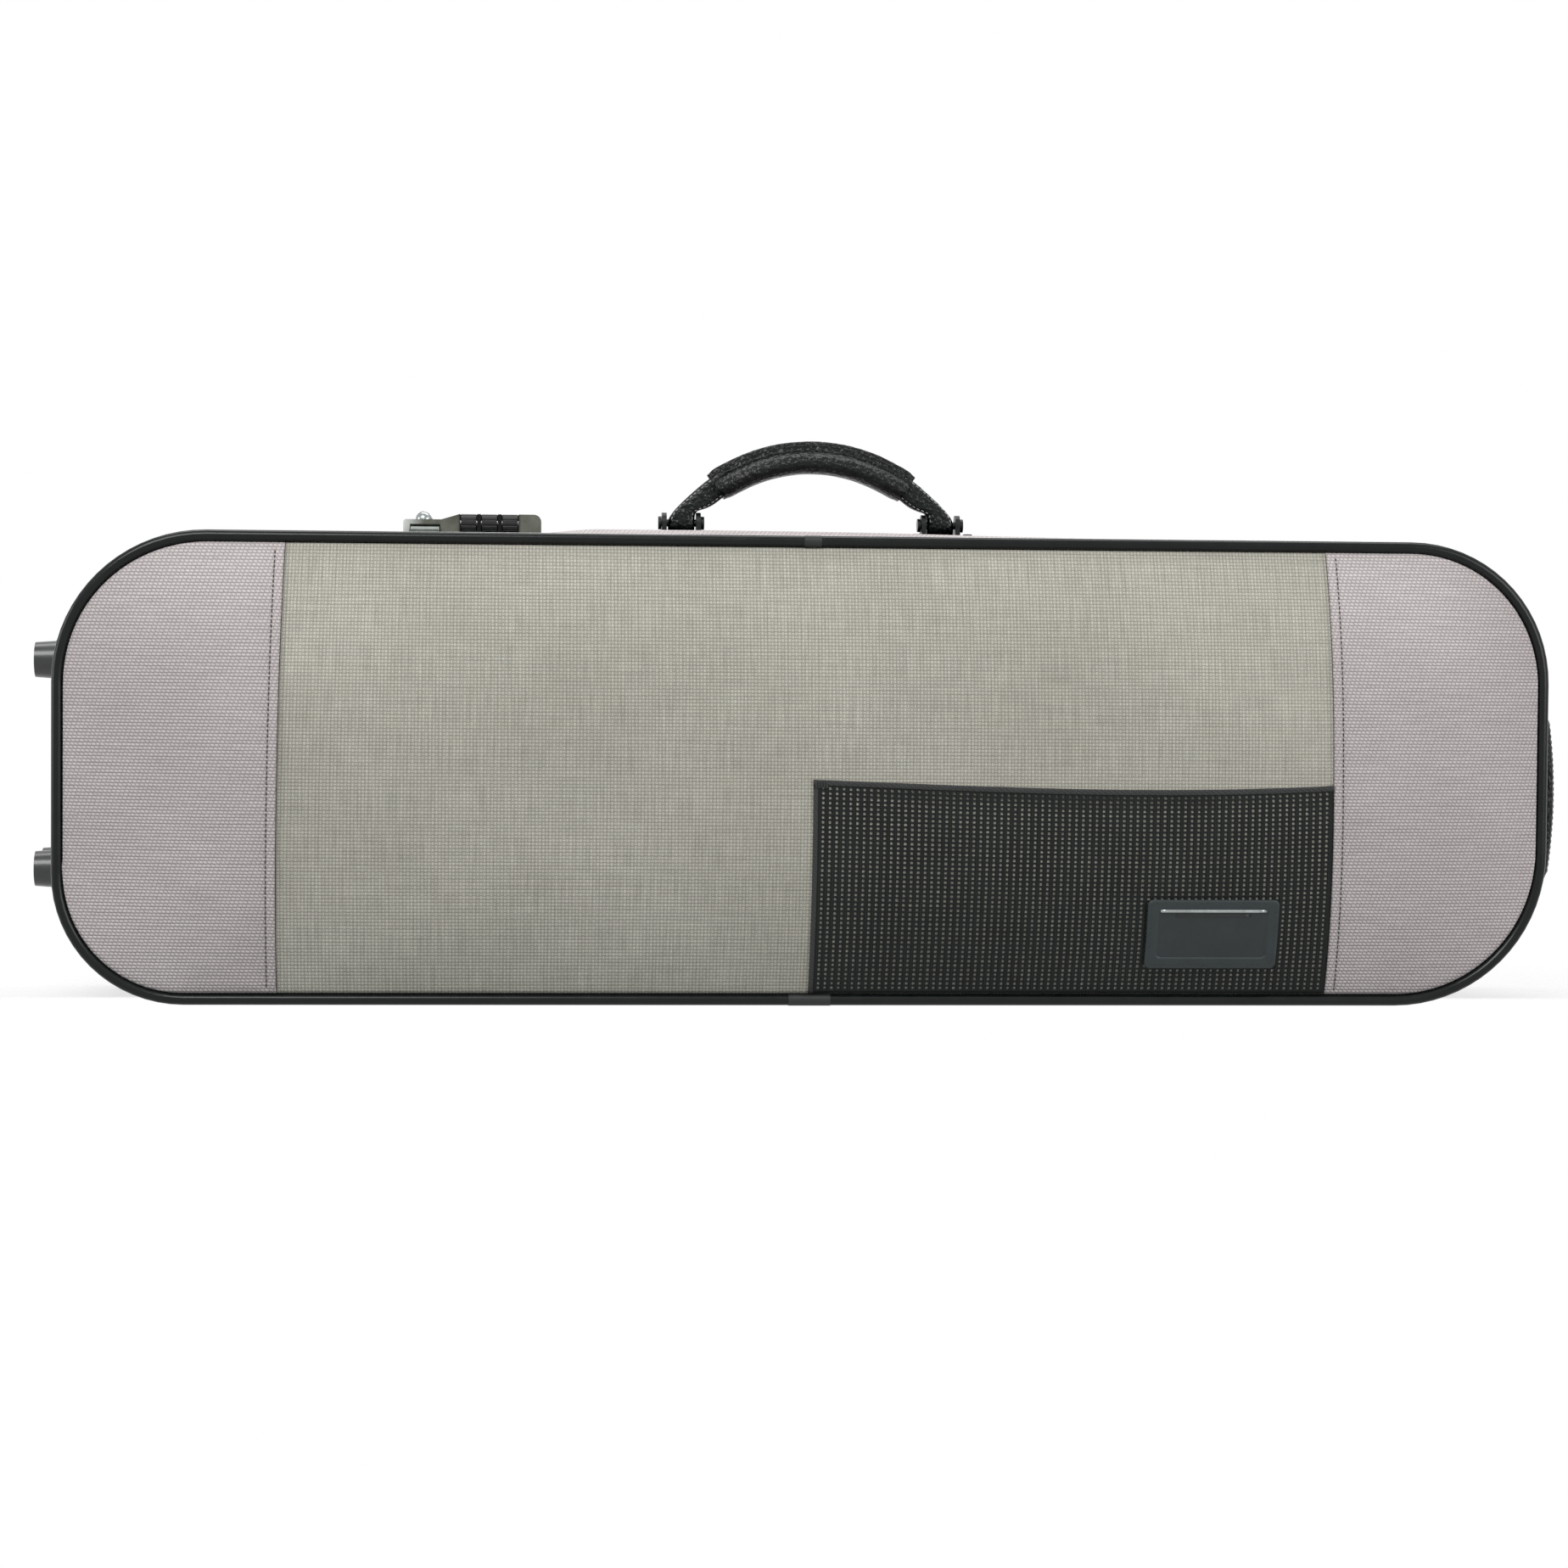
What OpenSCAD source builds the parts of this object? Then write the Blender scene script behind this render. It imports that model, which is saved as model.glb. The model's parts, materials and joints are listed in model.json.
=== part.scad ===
// Oblong violin case, modelled lying on its back (x length, y towards the handle, z towards the lid)
// and stood on its hinge side by stand(), as it is carried.

/* [Case] */
// Length over the piping
case_l = 786; // [760:1:830]
// Height from the hinge side to the handle side
case_h = 246; // [240:1:270]
// Depth of the base tray, back to rim
base_depth = 80; // [76:1:100]
// Depth of the lid rim, rim to the front of the piping
lid_depth = 42; // [40:1:60]
// Rise of the arched lid above its edge
crown_h = 25; // [20:1:40]
// Outer corner radius, handle side, left end
corner_tl = 79; // [66:1:90]
// Outer corner radius, handle side, right end
corner_tr = 75; // [66:1:90]
// Outer corner radius, hinge side, left end
corner_bl = 68; // [66:1:90]
// Outer corner radius, hinge side, right end
corner_br = 81; // [66:1:90]
// Radius of the edge round the back
back_r = 12; // [9:0.5:13]

/* [Skins] */
// Thickness of the outer fabric
cover_t = 1.2; // [0.8:0.1:2]
// Thickness of the moulded shell
shell_t = 5; // [4:0.5:6]
// Thickness of the inner lining
lining_t = 2; // [1:0.5:3]
// Gap between neighbouring layers
layer_gap = 0.3; // [0.2:0.05:0.4]
// Gap between the closed rims
rim_gap = 0.4; // [0.2:0.1:0.8]
// Radius of the lid's piping
piping_r = 3; // [2:0.25:3.5]
// Radius of the thin piping round the back
back_piping_r = 1.8; // [1:0.1:2]
// Distance of the left fabric seam from the middle
seam_left = 275; // [240:1:290]
// Distance of the right fabric seam from the middle
seam_right = 272.5; // [255:1:290]
// How much thicker the folded end panels are than the centre panel
hem_rise = 0.6; // [0.3:0.1:1]
// Length of the flat wear strips on the hinge side
strip_l = 580; // [500:10:600]

/* [Rim] */
// Thickness of the valance that stands up inside the rim
valance_t = 1.4; // [1:0.1:2]
// Height of the valance above the rim
valance_rise = 6; // [4:0.5:7]
// Depth of the valance below the rim
valance_drop = 14; // [10:1:20]
// Width of the ledge that carries the lid's arched panel
ledge_w = 5; // [4:0.5:8]
// Thickness of that ledge
ledge_t = 4; // [3:0.5:6]

/* [Hinges] */
// Distance between neighbouring hinges
hinge_pitch = 220; // [160:5:260]
// Width of one hinge
hinge_w = 36; // [30:1:50]
// Height of a hinge leaf
leaf_h = 22; // [16:1:26]
// Thickness of a hinge leaf
leaf_t = 1.3; // [1:0.1:1.5]
// Depth of the hinge axis inside the hinge side
hinge_depth = 3.6; // [3.5:0.1:3.8]
// Radius of the hinge knuckles
knuckle_r = 2.8; // [2.5:0.1:2.8]
// Radius of the hinge pins
hinge_pin_r = 1.2; // [1:0.1:1.4]
// Half the angle of the groove that lets the lid swing
groove_angle = 54; // [50:1:55]

/* [Pocket and badge] */
// Left edge of the mesh pocket, from the middle
pocket_left = -1; // [-60:1:100]
// Height of the mesh pocket's top edge
pocket_top = 116; // [90:1:150]
// Thickness of the mesh
mesh_t = 0.8; // [0.5:0.1:1.2]
// Width of the pocket's bound edge
binding_w = 5; // [4:0.5:8]
// Left edge of the badge, from the middle
badge_left = 175.5; // [100:0.5:190]
// Length of the badge
badge_l = 70; // [50:1:76]
// Height of the badge's lower edge
badge_low = 20.5; // [14:0.5:40]
// Height of the badge
badge_h = 37; // [25:1:45]
// Width of the badge's raised border
badge_border = 6; // [3:0.5:8]

/* [Handle] */
// Distance of the handle from the middle
handle_x = 4; // [-40:1:40]
// Distance of the handle behind the middle of the depth
handle_back = 2; // [-4:1:20]
// Radius of the handle's outer curve
handle_r = 95.2; // [90:0.1:110]
// How far that curve's centre lies inside the top
handle_sink = 42.6; // [38:0.1:45]
// Radial thickness of the grip
grip_t = 17.8; // [16:0.1:20]
// Width of the grip
grip_w = 26; // [22:1:30]
// Half the angle that the grip covers
grip_angle = 36.5; // [25:0.5:38]
// Radial width of the leather strap
strap_w = 13; // [9:0.5:14]
// Thickness of the leather strap
strap_t = 10; // [6:0.5:12]
// Height of the handle's pivots above the top
pivot_rise = 8; // [7.8:0.1:10]
// Radius of the handle's pivot pins
pivot_r = 2; // [1.5:0.1:2.5]
// Radius of the barrel round each pivot pin
barrel_r = 5; // [4:0.1:5.4]
// Length of that barrel
barrel_l = 15; // [12:0.5:17]
// Thickness of the ears of a handle bracket
ear_t = 2.5; // [2:0.1:3]

/* [End handle] */
// Distance of the end handle's middle below the middle of the height
end_handle_drop = 13.5; // [0:0.5:20]
// Distance of the end handle and the feet behind the middle of the depth
end_handle_back = 6; // [2:0.5:14]
// How far the end handle stands off the end
end_handle_rise = 19.5; // [18:0.5:26]
// Radius of its flat bow
end_handle_r = 290; // [220:5:400]
// Half the length of its bow
end_handle_half = 50; // [46:1:52]
// Width of its webbing
webbing_w = 26; // [20:1:30]
// Thickness of its webbing
webbing_t = 2.6; // [2:0.2:3]
// Thickness of its padded sleeve
pad_t = 8; // [6:0.5:9]

/* [Feet and rings] */
// Radius of an end foot
foot_r = 10.5; // [8:0.5:12]
// How far a foot stands off the end
foot_rise = 15; // [10:0.5:20]
// Height of the lower feet
foot_low = 67; // [50:1:80]
// Distance of the upper feet below the handle side
foot_high = 68; // [60:1:80]
// Distance between the front and the back feet
foot_spread = 34; // [28:1:36]
// Distance of the shoulder strap rings from the middle
ring_x = 290; // [250:5:300]
// Distance of the shoulder strap rings below the handle side
ring_drop = 56; // [40:2:76]
// Inner radius of a ring
ring_r = 13; // [10:0.5:16]
// Radius of the ring's wire
wire_r = 2; // [1.5:0.1:2.4]

/* [Lock] */
// Left end of the lock, from the middle
lock_left = -214; // [-240:1:-200]
// Length of the lock
lock_l = 73; // [72:1:80]
// Height of the lock
lock_h = 11; // [11:0.1:13]
// Depth of the lock along the side
lock_w = 26; // [26:1:28]
// Radius of a dial
dial_r = 4.8; // [4.5:0.05:4.9]
// Width of a dial
dial_w = 8; // [7:0.1:8.5]
// Distance between neighbouring dials
dial_pitch = 11; // [10.8:0.1:11.5]
// Travel of the lock's slide
slide_travel = 4; // [3:0.1:4.2]
// Radius of the slide's knob
knob_r = 4.6; // [3.5:0.1:5]

/* [Violin bed] */
// Length of the violin's body
body_l = 360; // [340:1:364]
// Width of the lower bout recess
lower_bout = 214; // [200:1:216]
// Width of the upper bout recess
upper_bout = 174; // [160:1:180]
// Width of the waist recess
waist = 118; // [108:1:126]
// Width of the recess for the neck
neck_w = 52; // [46:1:60]
// Depth of the violin recess
recess_d = 42; // [34:1:42]
// Thickness of the suspension pads
pad_h = 12; // [8:1:16]
// Length of the pad under the lower bout
lower_pad_l = 55; // [40:1:70]
// Length of the pad under the upper bout
upper_pad_l = 45; // [35:1:60]
// Length of the neck cradle
cradle_l = 40; // [30:1:50]
// Width of the neck cradle
cradle_w = 48; // [44:1:56]
// Distance of the neck cradle from the violin bed
cradle_off = 80; // [60:1:100]
// Length of a box lid's ribbon tab
tab_h = 24; // [16:1:30]
// Length of the accessory boxes beside the neck
box_l = 228; // [200:1:232]
// Width of the space left for the neck
neck_bay = 94; // [88:1:100]
// Thickness of the box walls
box_wall = 4; // [3:0.5:5]
// Thickness of the box lids
box_lid_t = 5; // [4.8:0.1:6]
// Radius of the box lids' pivot stubs
stub_r = 1.5; // [1.2:0.1:1.8]

/* [Bow holders] */
// Distance of the turn clips left of the middle
clip_x = 235; // [200:5:260]
// Distance of each bow from the middle of the height
bow_spread = 33; // [28:1:40]
// Length of a turn clip
clip_l = 46; // [40:1:50]
// Distance of the tip loops right of the middle
tip_x = 300; // [270:5:310]

/* [Hidden] */

// Colours of the photograph
khaki = "#a8a698";
mauve = "#aca4a5";
black_vinyl = "#2b2e2d";
black_mesh = "#2d302f";
leather_black = "#26292a";
gunmetal = "#6b7070";
light_metal = "#bfc4c0";
velour = "#3b4046";
foam = "#4a4f55";

fine = 96;
small = 32;
past = 1;

// Levels through the depth of the case
z_rim = (base_depth - lid_depth) / 2;
z_back = z_rim - base_depth;
z_front = z_rim + lid_depth;
z_base_top = z_rim - rim_gap / 2;
z_lid_low = z_rim + rim_gap / 2;
shell_out = cover_t + layer_gap;
shell_in = shell_out + shell_t;
lining_out = shell_in + layer_gap;
lining_in = lining_out + lining_t;
inner = lining_in + layer_gap;
z_floor = z_back + inner;

// Ends of the outline and centres of its corners
half_l = case_l / 2;
corners = [[half_l - corner_tr, case_h - corner_tr, corner_tr, 0],
    [corner_tl - half_l, case_h - corner_tl, corner_tl, 90],
    [corner_bl - half_l, corner_bl, corner_bl, 180],
    [half_l - corner_br, corner_br, corner_br, 270]];
sides = [[half_l, case_h - corner_tr, 0, case_h - corner_tr - corner_br],
    [corner_tl - half_l, case_h, 90, case_l - corner_tl - corner_tr],
    [-half_l, corner_bl, 180, case_h - corner_tl - corner_bl],
    [half_l - corner_br, 0, 270, case_l - corner_bl - corner_br]];

// Stack of the lid's arched layers, measured at its edge
z_piping = z_front - piping_r;
z_frame_top = z_front - 2 * piping_r - layer_gap;
edge_drop = 2;
z_cover = z_front - edge_drop;
z_panel = z_cover - cover_t - layer_gap;
panel_t = 4;
z_ledge = z_panel - panel_t - layer_gap;
cover_inset = 2 * piping_r + layer_gap;
panel_inset = max(shell_in, 2 * piping_r) + layer_gap;
lid_lining_inset = shell_in + ledge_w + layer_gap;
z_mesh = z_cover + layer_gap;
z_badge = z_mesh + mesh_t + layer_gap;
badge_t = 2;
window_depth = 0.9;

// Shape of the arch: flatness across, flatness along, columns in each end, rows across
arch_power = 2.4;
end_power = 6;
end_run = 100;
end_steps = 9;
mid_step = 50;
arch_rows = 18;

// Violin bed and boxes
bed_left = inner - half_l;
recess_left = bed_left + 6;
bed_right = recess_left + body_l + 14;
bed_top = z_rim - 22;
recess_floor = bed_top - recess_d;
mid_y = case_h / 2;
bay_left = bed_right + layer_gap + box_wall;
bay_right = bay_left + box_l;
box_top = z_rim - 19;
wall_low = z_floor;
neck_notch = 20;
bay_low = mid_y - neck_bay / 2;
bay_high = mid_y + neck_bay / 2;
lid_edge_r = box_lid_t / 2;
lid_axis_z = box_top + layer_gap + lid_edge_r;
lid_axis_out = lid_edge_r + layer_gap;
box_lid_w = bay_low - lid_axis_out - box_wall - inner - layer_gap;
stub_l = 3;
fit = 0.05;
cradle_top = box_top - 16;
cradle_x = bay_left + cradle_off;

// Hinges
knuckle_gap = 0.4;
knuckle_w = hinge_w / 3;
leaf_in = hinge_depth + knuckle_r - 0.1;

// Handle
pivot_y = case_h + pivot_rise;
handle_cy = case_h - handle_sink;
strap_mid_r = handle_r - grip_t / 2;
pivot_drop = handle_sink + pivot_rise;
pivot_out = sqrt(strap_mid_r * strap_mid_r - pivot_drop * pivot_drop);
pivot_angle = atan2(pivot_drop, pivot_out);
strap_end = 3;
bracket_t = 2;
bracket_l = 36;
bracket_w = 26;
ear_gap = 0.4;
ear_r = 5.6;
ear_room = 1.5;
rivet_r = 2;
rivet_head_r = 3.2;

// Feet
foot_z = -end_handle_back + 4;
foot_screw_r = 2;
foot_head_r = 4;
foot_hole_d = 5;

// Lock
plate_t = 1.2;
low_h = 8;
low_l = 20;
ramp_l = 10;
lock_z = 1;
lock_front = lock_z + lock_w / 2;
dial_mid = lock_left + 45.5;
dial_y = case_h + lock_h - dial_r + 0.2;
dial_z = lock_front - dial_r - 0.7;
axle_r = 1.2;
rib_w = 2;
bay_half = dial_pitch + dial_w / 2 + 0.5;
tongue_left = lock_left + 4;
tongue_w = 15;
tongue_t = 2;
tongue_low = 1.9;
tongue_reach = 18;
notch_w = 4;
cavity_left = lock_left + 2.4;
cavity_right = lock_left + 25.5;
cavity_top = low_h - 1.4;
knob_x = lock_left + 10.8;
stem_r = 1.2;
bolt_w = 3.7;
bolt_x = tongue_left + tongue_w + 1.1;
slider_t = 1.3;
slider_low = 5;

// Rings
tab_out = 1.6;
ring_axis_z = z_back - layer_gap - wire_r - tab_out;
ring_y = case_h - ring_drop;
ring_bar = ring_r + wire_r;

// ---- shared shapes ----

module stand() {
    rotate([90, 0, 0]) children();
}

// A box from one corner to the other
module block(low, high) {
    translate(low) cube(high - low);
}

// The rounded outline of the case, drawn inset from its outside
module outline(inset) {
    for (c = corners) {
        translate([c[0], c[1]]) circle(c[2] - inset, $fn = fine);
    }
    tr = corners[0];
    tl = corners[1];
    bl = corners[2];
    br = corners[3];
    top = case_h - inset;
    end = half_l - inset;
    polygon([[tr[0], top], [tl[0], top], [-end, tl[1]], [-end, bl[1]],
        [bl[0], inset], [br[0], inset], [end, br[1]], [end, tr[1]]]);
}

module slab(inset, low, high) {
    translate([0, 0, low]) linear_extrude(high - low) outline(inset);
}

// Sweeps a profile round the outline: x is the distance outside it, y is the level
module around() {
    for (c = corners) {
        translate([c[0], c[1], 0]) rotate(c[3])
            rotate_extrude(angle = 90, $fn = fine) translate([c[2], 0]) children();
    }
    for (s = sides) {
        translate([s[0], s[1], 0]) rotate(s[2]) rotate([90, 0, 0]) linear_extrude(s[3]) children();
    }
}

// A rectangle of a profile, from two insets and two levels
module band(outer, inside, low, high) {
    translate([-inside, low]) square([inside - outer, high - low]);
}

// The filled edge of a tray with a rounded lower corner
module tray_edge(outer, low, r, reach, high) {
    band(outer, reach, low + r, high);
    band(outer + r, reach, low, low + r);
    translate([-outer - r, low + r]) circle(r, $fn = fine);
}

// The groove along the hinge side that lets the lid swing
module hinge_groove() {
    spread = (hinge_depth + past) * tan(groove_angle);
    translate([-half_l, 0, 0]) rotate([90, 0, 90]) linear_extrude(case_l)
        polygon([[hinge_depth, z_rim], [-past, z_rim - spread], [-past, z_rim + spread]]);
}

// Runs a shape at each hinge
module at_hinges() {
    for (k = [-1 : 1]) {
        translate([k * hinge_pitch, hinge_depth, z_rim]) children();
    }
}

// A rod along x
module rod(r, from, to) {
    translate([from, 0, 0]) rotate([0, 90, 0]) cylinder(r = r, h = to - from, $fn = fine);
}

// Room for the hinges in a shell; side is -1 in the base and 1 in the lid
module hinge_pockets(side) {
    pocket = leaf_h + layer_gap;
    w = hinge_w / 2 + layer_gap;
    at_hinges() {
        rod(knuckle_r + layer_gap, -w, w);
        translate([-w, leaf_in - hinge_depth - leaf_t - layer_gap, side > 0 ? 0 : -pocket])
            cube([2 * w, shell_in + past - leaf_in + leaf_t, pocket]);
    }
}

// Places where the feet are fixed
foot_places = [for (row = [0, 1]) for (col = [0, 1])
    [row == 0 ? foot_low : case_h - foot_high, foot_z - col * foot_spread]];

module foot_bores(r) {
    for (p = foot_places) {
        translate([0, p[0], p[1]]) rod(r, -half_l - past, inner - half_l + corner_bl / 2);
    }
}

// Places of the rivets under the handle brackets
rivet_places = [for (side = [-1, 1]) for (a = [-1, 1]) for (b = [-1, 1])
    [handle_x + side * pivot_out + a * (bracket_l / 2 - 4), -handle_back + b * (bracket_w / 2 - 4)]];

module rivet_bores(r) {
    for (p = rivet_places) {
        translate([p[0], case_h + past + bracket_t, p[1]]) rotate([90, 0, 0])
            cylinder(r = r, h = shell_in + 2 * past + bracket_t, $fn = small);
    }
}

screw_r = 1.5;
screw_places = [[lock_left + lock_l - 6, lock_z - 8], [lock_left + lock_l - 6, lock_z + 1],
    [cavity_right + 2.2, lock_z - 8]];

module lock_bores(r, deep) {
    for (p = screw_places) {
        translate([p[0], case_h + deep, p[1]]) rotate([90, 0, 0])
            cylinder(r = r, h = shell_in + past + deep, $fn = small);
    }
}

// ---- the arch of the lid ----

// Lower and upper edge of the outline at a distance x from the middle
function sag(r, inset, x) = sqrt(max(0, pow(r - inset, 2) - pow(max(0, x), 2)));
function low_edge(inset, x) = x < 0
    ? corner_bl - sag(corner_bl, inset, corner_bl - half_l - x)
    : corner_br - sag(corner_br, inset, x - half_l + corner_br);
function high_edge(inset, x) = case_h - (x < 0
    ? corner_tl - sag(corner_tl, inset, corner_tl - half_l - x)
    : corner_tr - sag(corner_tr, inset, x - half_l + corner_tr));

// Height of the arch above its edge
function across(t) = 1 - pow(abs(2 * min(1, max(0, t)) - 1), arch_power);
function along(x) = 1 - pow(min(1, abs(x) / (half_l - cover_inset)), end_power);
function arch(x, y) = crown_h * along(x)
    * across((y - low_edge(cover_inset, x)) / (high_edge(cover_inset, x) - low_edge(cover_inset, x)));

// Columns of an arched layer, close together near the ends
function end_offset(k) = end_run * (1 - cos(90 * k / end_steps));
function all_columns(end) = concat([for (k = [0 : end_steps]) end_offset(k) - end],
    [for (x = [-half_l + end_run + mid_step : mid_step : half_l - end_run - mid_step / 2]) x],
    [for (k = [end_steps : -1 : 0]) end - end_offset(k)]);
function columns(end, from, to) = concat([from],
    [for (x = all_columns(end)) if (x > from + past && x < to - past) x], [to]);

// A curved sheet that follows the arch. edges holds the lower and upper y of each column.
module arched_sheet(xs, edges, rows, top, thickness) {
    n = len(xs);
    m = rows + 1;
    xy = [for (i = [0 : n - 1]) for (j = [0 : rows])
        [xs[i], edges[i][0] + (edges[i][1] - edges[i][0]) * j / rows]];
    upper = [for (p = xy) [p[0], p[1], top + arch(p[0], p[1])]];
    lower = [for (p = upper) [p[0], p[1], p[2] - thickness]];
    s = n * m;
    cells = [for (i = [0 : n - 2]) for (j = [0 : rows - 1]) i * m + j];
    faces = concat(
        [for (c = cells) each [[c, c + 1, c + m + 1], [c, c + m + 1, c + m]]],
        [for (c = cells) each [[s + c, s + c + m + 1, s + c + 1], [s + c, s + c + m, s + c + m + 1]]],
        [for (i = [0 : n - 2]) let (c = i * m) [c, c + m, s + c + m, s + c]],
        [for (i = [0 : n - 2]) let (c = i * m + rows) [c, s + c, s + c + m, c + m]],
        [for (j = [0 : rows - 1]) [j, s + j, s + j + 1, j + 1]],
        [for (j = [0 : rows - 1]) let (c = (n - 1) * m + j) [c, c + 1, s + c + 1, s + c]]);
    polyhedron(concat(upper, lower), faces);
}

// A layer over the whole lid between two distances from the middle
module arched_layer(inset, from, to, top, thickness) {
    xs = columns(half_l - inset, from, to);
    arched_sheet(xs, [for (x = xs) [low_edge(inset, x), high_edge(inset, x)]], arch_rows, top, thickness);
}

// A patch of the arch between two distances from the middle and two heights
module arched_patch(from, to, low, high, rows, top, thickness) {
    xs = columns(half_l, from, to);
    arched_sheet(xs, [for (x = xs) [low, high]], rows, top, thickness);
}

// ---- base ----

module base_shell() {
    reach = 40;
    color(foam) stand() difference() {
        union() {
            around() difference() {
                tray_edge(shell_out, z_back + shell_out, back_r - shell_out, reach, z_base_top);
                band(shell_in, reach + past, z_back + shell_in, z_base_top + past);
            }
            slab(reach, z_back + shell_out, z_back + shell_in);
        }
        hinge_groove();
        hinge_pockets(-1);
        foot_bores(foot_screw_r + fit);
        rivet_bores(rivet_r + fit);
        lock_bores(screw_r + fit, past);
    }
}

module strip_room(low, high) {
    w = strip_l / 2 + layer_gap;
    block([-w, -past, low], [w, cover_t + layer_gap / 2, high]);
}

module base_cover() {
    reach = 40;
    color(mauve) stand() difference() {
        union() {
            around() difference() {
                tray_edge(0, z_back, back_r, reach, z_base_top);
                tray_edge(cover_t, z_back + cover_t, back_r - cover_t, reach + past, z_base_top + past);
            }
            slab(reach, z_back, z_back + cover_t);
        }
        hinge_groove();
        strip_room(z_back + back_r, z_rim + past);
        foot_bores(foot_screw_r + fit);
        rivet_bores(rivet_r + fit);
        lock_bores(screw_r + fit, past);
    }
}

module base_piping() {
    away = (back_r + back_piping_r + 0.1) * sin(45);
    color(black_vinyl) stand() around()
        translate([away - back_r, z_back + back_r - away]) circle(back_piping_r, $fn = small);
}

module base_wear_strip() {
    w = strip_l / 2;
    color(black_vinyl) stand() difference() {
        block([-w, 0, z_back + back_r + layer_gap], [w, cover_t, z_base_top]);
        hinge_groove();
    }
}

module valance() {
    color(velour) stand() around()
        band(lining_out + 0.1, lining_out + 0.1 + valance_t, z_rim - valance_drop, z_rim + valance_rise);
}

module base_lining() {
    reach = 40;
    color(velour) stand() {
        around() band(lining_out, lining_in, z_back + lining_out, z_rim - valance_drop - layer_gap);
        slab(lining_out, z_back + lining_out, z_back + lining_in);
    }
}

// ---- violin bed ----

module violin_outline(margin) {
    low_r = lower_bout / 2 - margin;
    high_r = upper_bout / 2 - margin;
    low_x = recess_left + lower_bout / 2;
    high_x = recess_left + body_l - upper_bout / 2;
    translate([low_x, mid_y]) circle(low_r, $fn = fine);
    translate([high_x, mid_y]) circle(high_r, $fn = fine);
    translate([low_x, mid_y - waist / 2 + margin]) square([high_x - low_x, waist - 2 * margin]);
}

module violin_bed() {
    color(velour) stand() difference() {
        intersection() {
            slab(inner, z_floor, bed_top);
            block([-half_l, 0, z_floor - past], [bed_right, case_h, z_rim]);
        }
        translate([0, 0, recess_floor]) linear_extrude(recess_d + past) violin_outline(0);
        block([bed_right - lower_bout / 2, mid_y - neck_w / 2, bed_top - neck_notch],
            [bed_right + past, mid_y + neck_w / 2, bed_top + past]);
    }
}

// Two pads that fill the ends of the recess and carry the violin's back
module suspension_pads() {
    z = recess_floor + layer_gap;
    color(foam) stand() intersection() {
        translate([0, 0, z]) linear_extrude(pad_h) violin_outline(layer_gap);
        union() {
            block([recess_left, 0, z - past], [recess_left + lower_pad_l, case_h, z + pad_h + past]);
            block([recess_left + body_l - upper_pad_l, 0, z - past],
                [recess_left + body_l, case_h, z + pad_h + past]);
        }
    }
}

module neck_cradle() {
    color(velour) stand() difference() {
        block([cradle_x, mid_y - cradle_w / 2, z_floor],
            [cradle_x + cradle_l, mid_y + cradle_w / 2, cradle_top]);
        translate([cradle_x, mid_y, cradle_top + 6]) rod(18, -past, cradle_l + past);
    }
}

module neck_strap() {
    color(leather_black) stand()
        block([cradle_x + 8, mid_y - cradle_w / 2, cradle_top + layer_gap],
            [cradle_x + cradle_l - 8, mid_y + cradle_w / 2, cradle_top + layer_gap + 2]);
}

module box_walls() {
    notch_low = box_top - neck_notch;
    color(velour) stand() difference() {
        union() {
            for (x = [bay_left - box_wall, bay_right]) {
                block([x, inner, wall_low], [x + box_wall, case_h - inner, lid_axis_z + stub_r + 2]);
            }
            for (y = [bay_low - box_wall, bay_high]) {
                block([bay_left - past, y, wall_low], [bay_right + past, y + box_wall, box_top]);
            }
        }
        block([bay_left - box_wall - past, mid_y - neck_w / 2, notch_low],
            [bay_left + past, mid_y + neck_w / 2, z_rim]);
        for (y = [bay_low - box_wall - lid_axis_out, bay_high + box_wall + lid_axis_out]) {
            translate([0, y, lid_axis_z])
                rod(stub_r + fit, bay_left - stub_l - layer_gap, bay_right + stub_l + layer_gap);
        }
    }
}

// A box lid with a rounded pivot edge, its stubs and its ribbon tab, drawn from its pivot outwards
module box_lid() {
    gap = layer_gap;
    rod(lid_edge_r, bay_left + gap, bay_right - gap);
    rod(stub_r, bay_left - stub_l, bay_right + stub_l);
    block([bay_left + gap, 0, -lid_edge_r], [bay_right - gap, box_lid_w, lid_edge_r]);
    middle = (bay_left + bay_right) / 2;
    block([middle - 10, box_lid_w - tab_h, lid_edge_r], [middle + 10, box_lid_w, lid_edge_r + 1.5]);
}

module upper_box_lid() {
    color(velour) stand() translate([0, bay_high + box_wall + lid_axis_out, lid_axis_z]) box_lid();
}

module lower_box_lid() {
    color(velour) stand() translate([0, bay_low - box_wall - lid_axis_out, lid_axis_z])
        mirror([0, 1, 0]) box_lid();
}

// ---- feet ----

module foot(index) {
    p = foot_places[index];
    color(black_vinyl) stand() difference() {
        translate([-half_l - foot_rise, p[0], p[1]]) rotate([0, 90, 0]) union() {
            cylinder(r1 = foot_r - 1.2, r2 = foot_r - 0.4, h = foot_rise - 4, $fn = fine);
            translate([0, 0, foot_rise - 4]) cylinder(r = foot_r, h = 4 + corner_tl / 3, $fn = fine);
        }
        slab(-layer_gap, z_back - past, z_rim);
        translate([0, p[0], p[1]])
            rod(foot_head_r + fit, -half_l - foot_rise - past, foot_hole_d - half_l - foot_rise);
        translate([0, p[0], p[1]]) rod(foot_screw_r + fit, -half_l - foot_rise, -half_l + past);
    }
}

module foot_front_lower() {
    foot(0);
}

module foot_back_lower() {
    foot(1);
}

module foot_front_upper() {
    foot(2);
}

module foot_back_upper() {
    foot(3);
}

module foot_screws() {
    seat = foot_hole_d - half_l - foot_rise;
    color(light_metal) stand() for (p = foot_places) {
        translate([0, p[0], p[1]]) {
            rod(foot_screw_r, seat, shell_in - half_l);
            rod(foot_head_r, seat - 2.2, seat);
        }
    }
}

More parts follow.
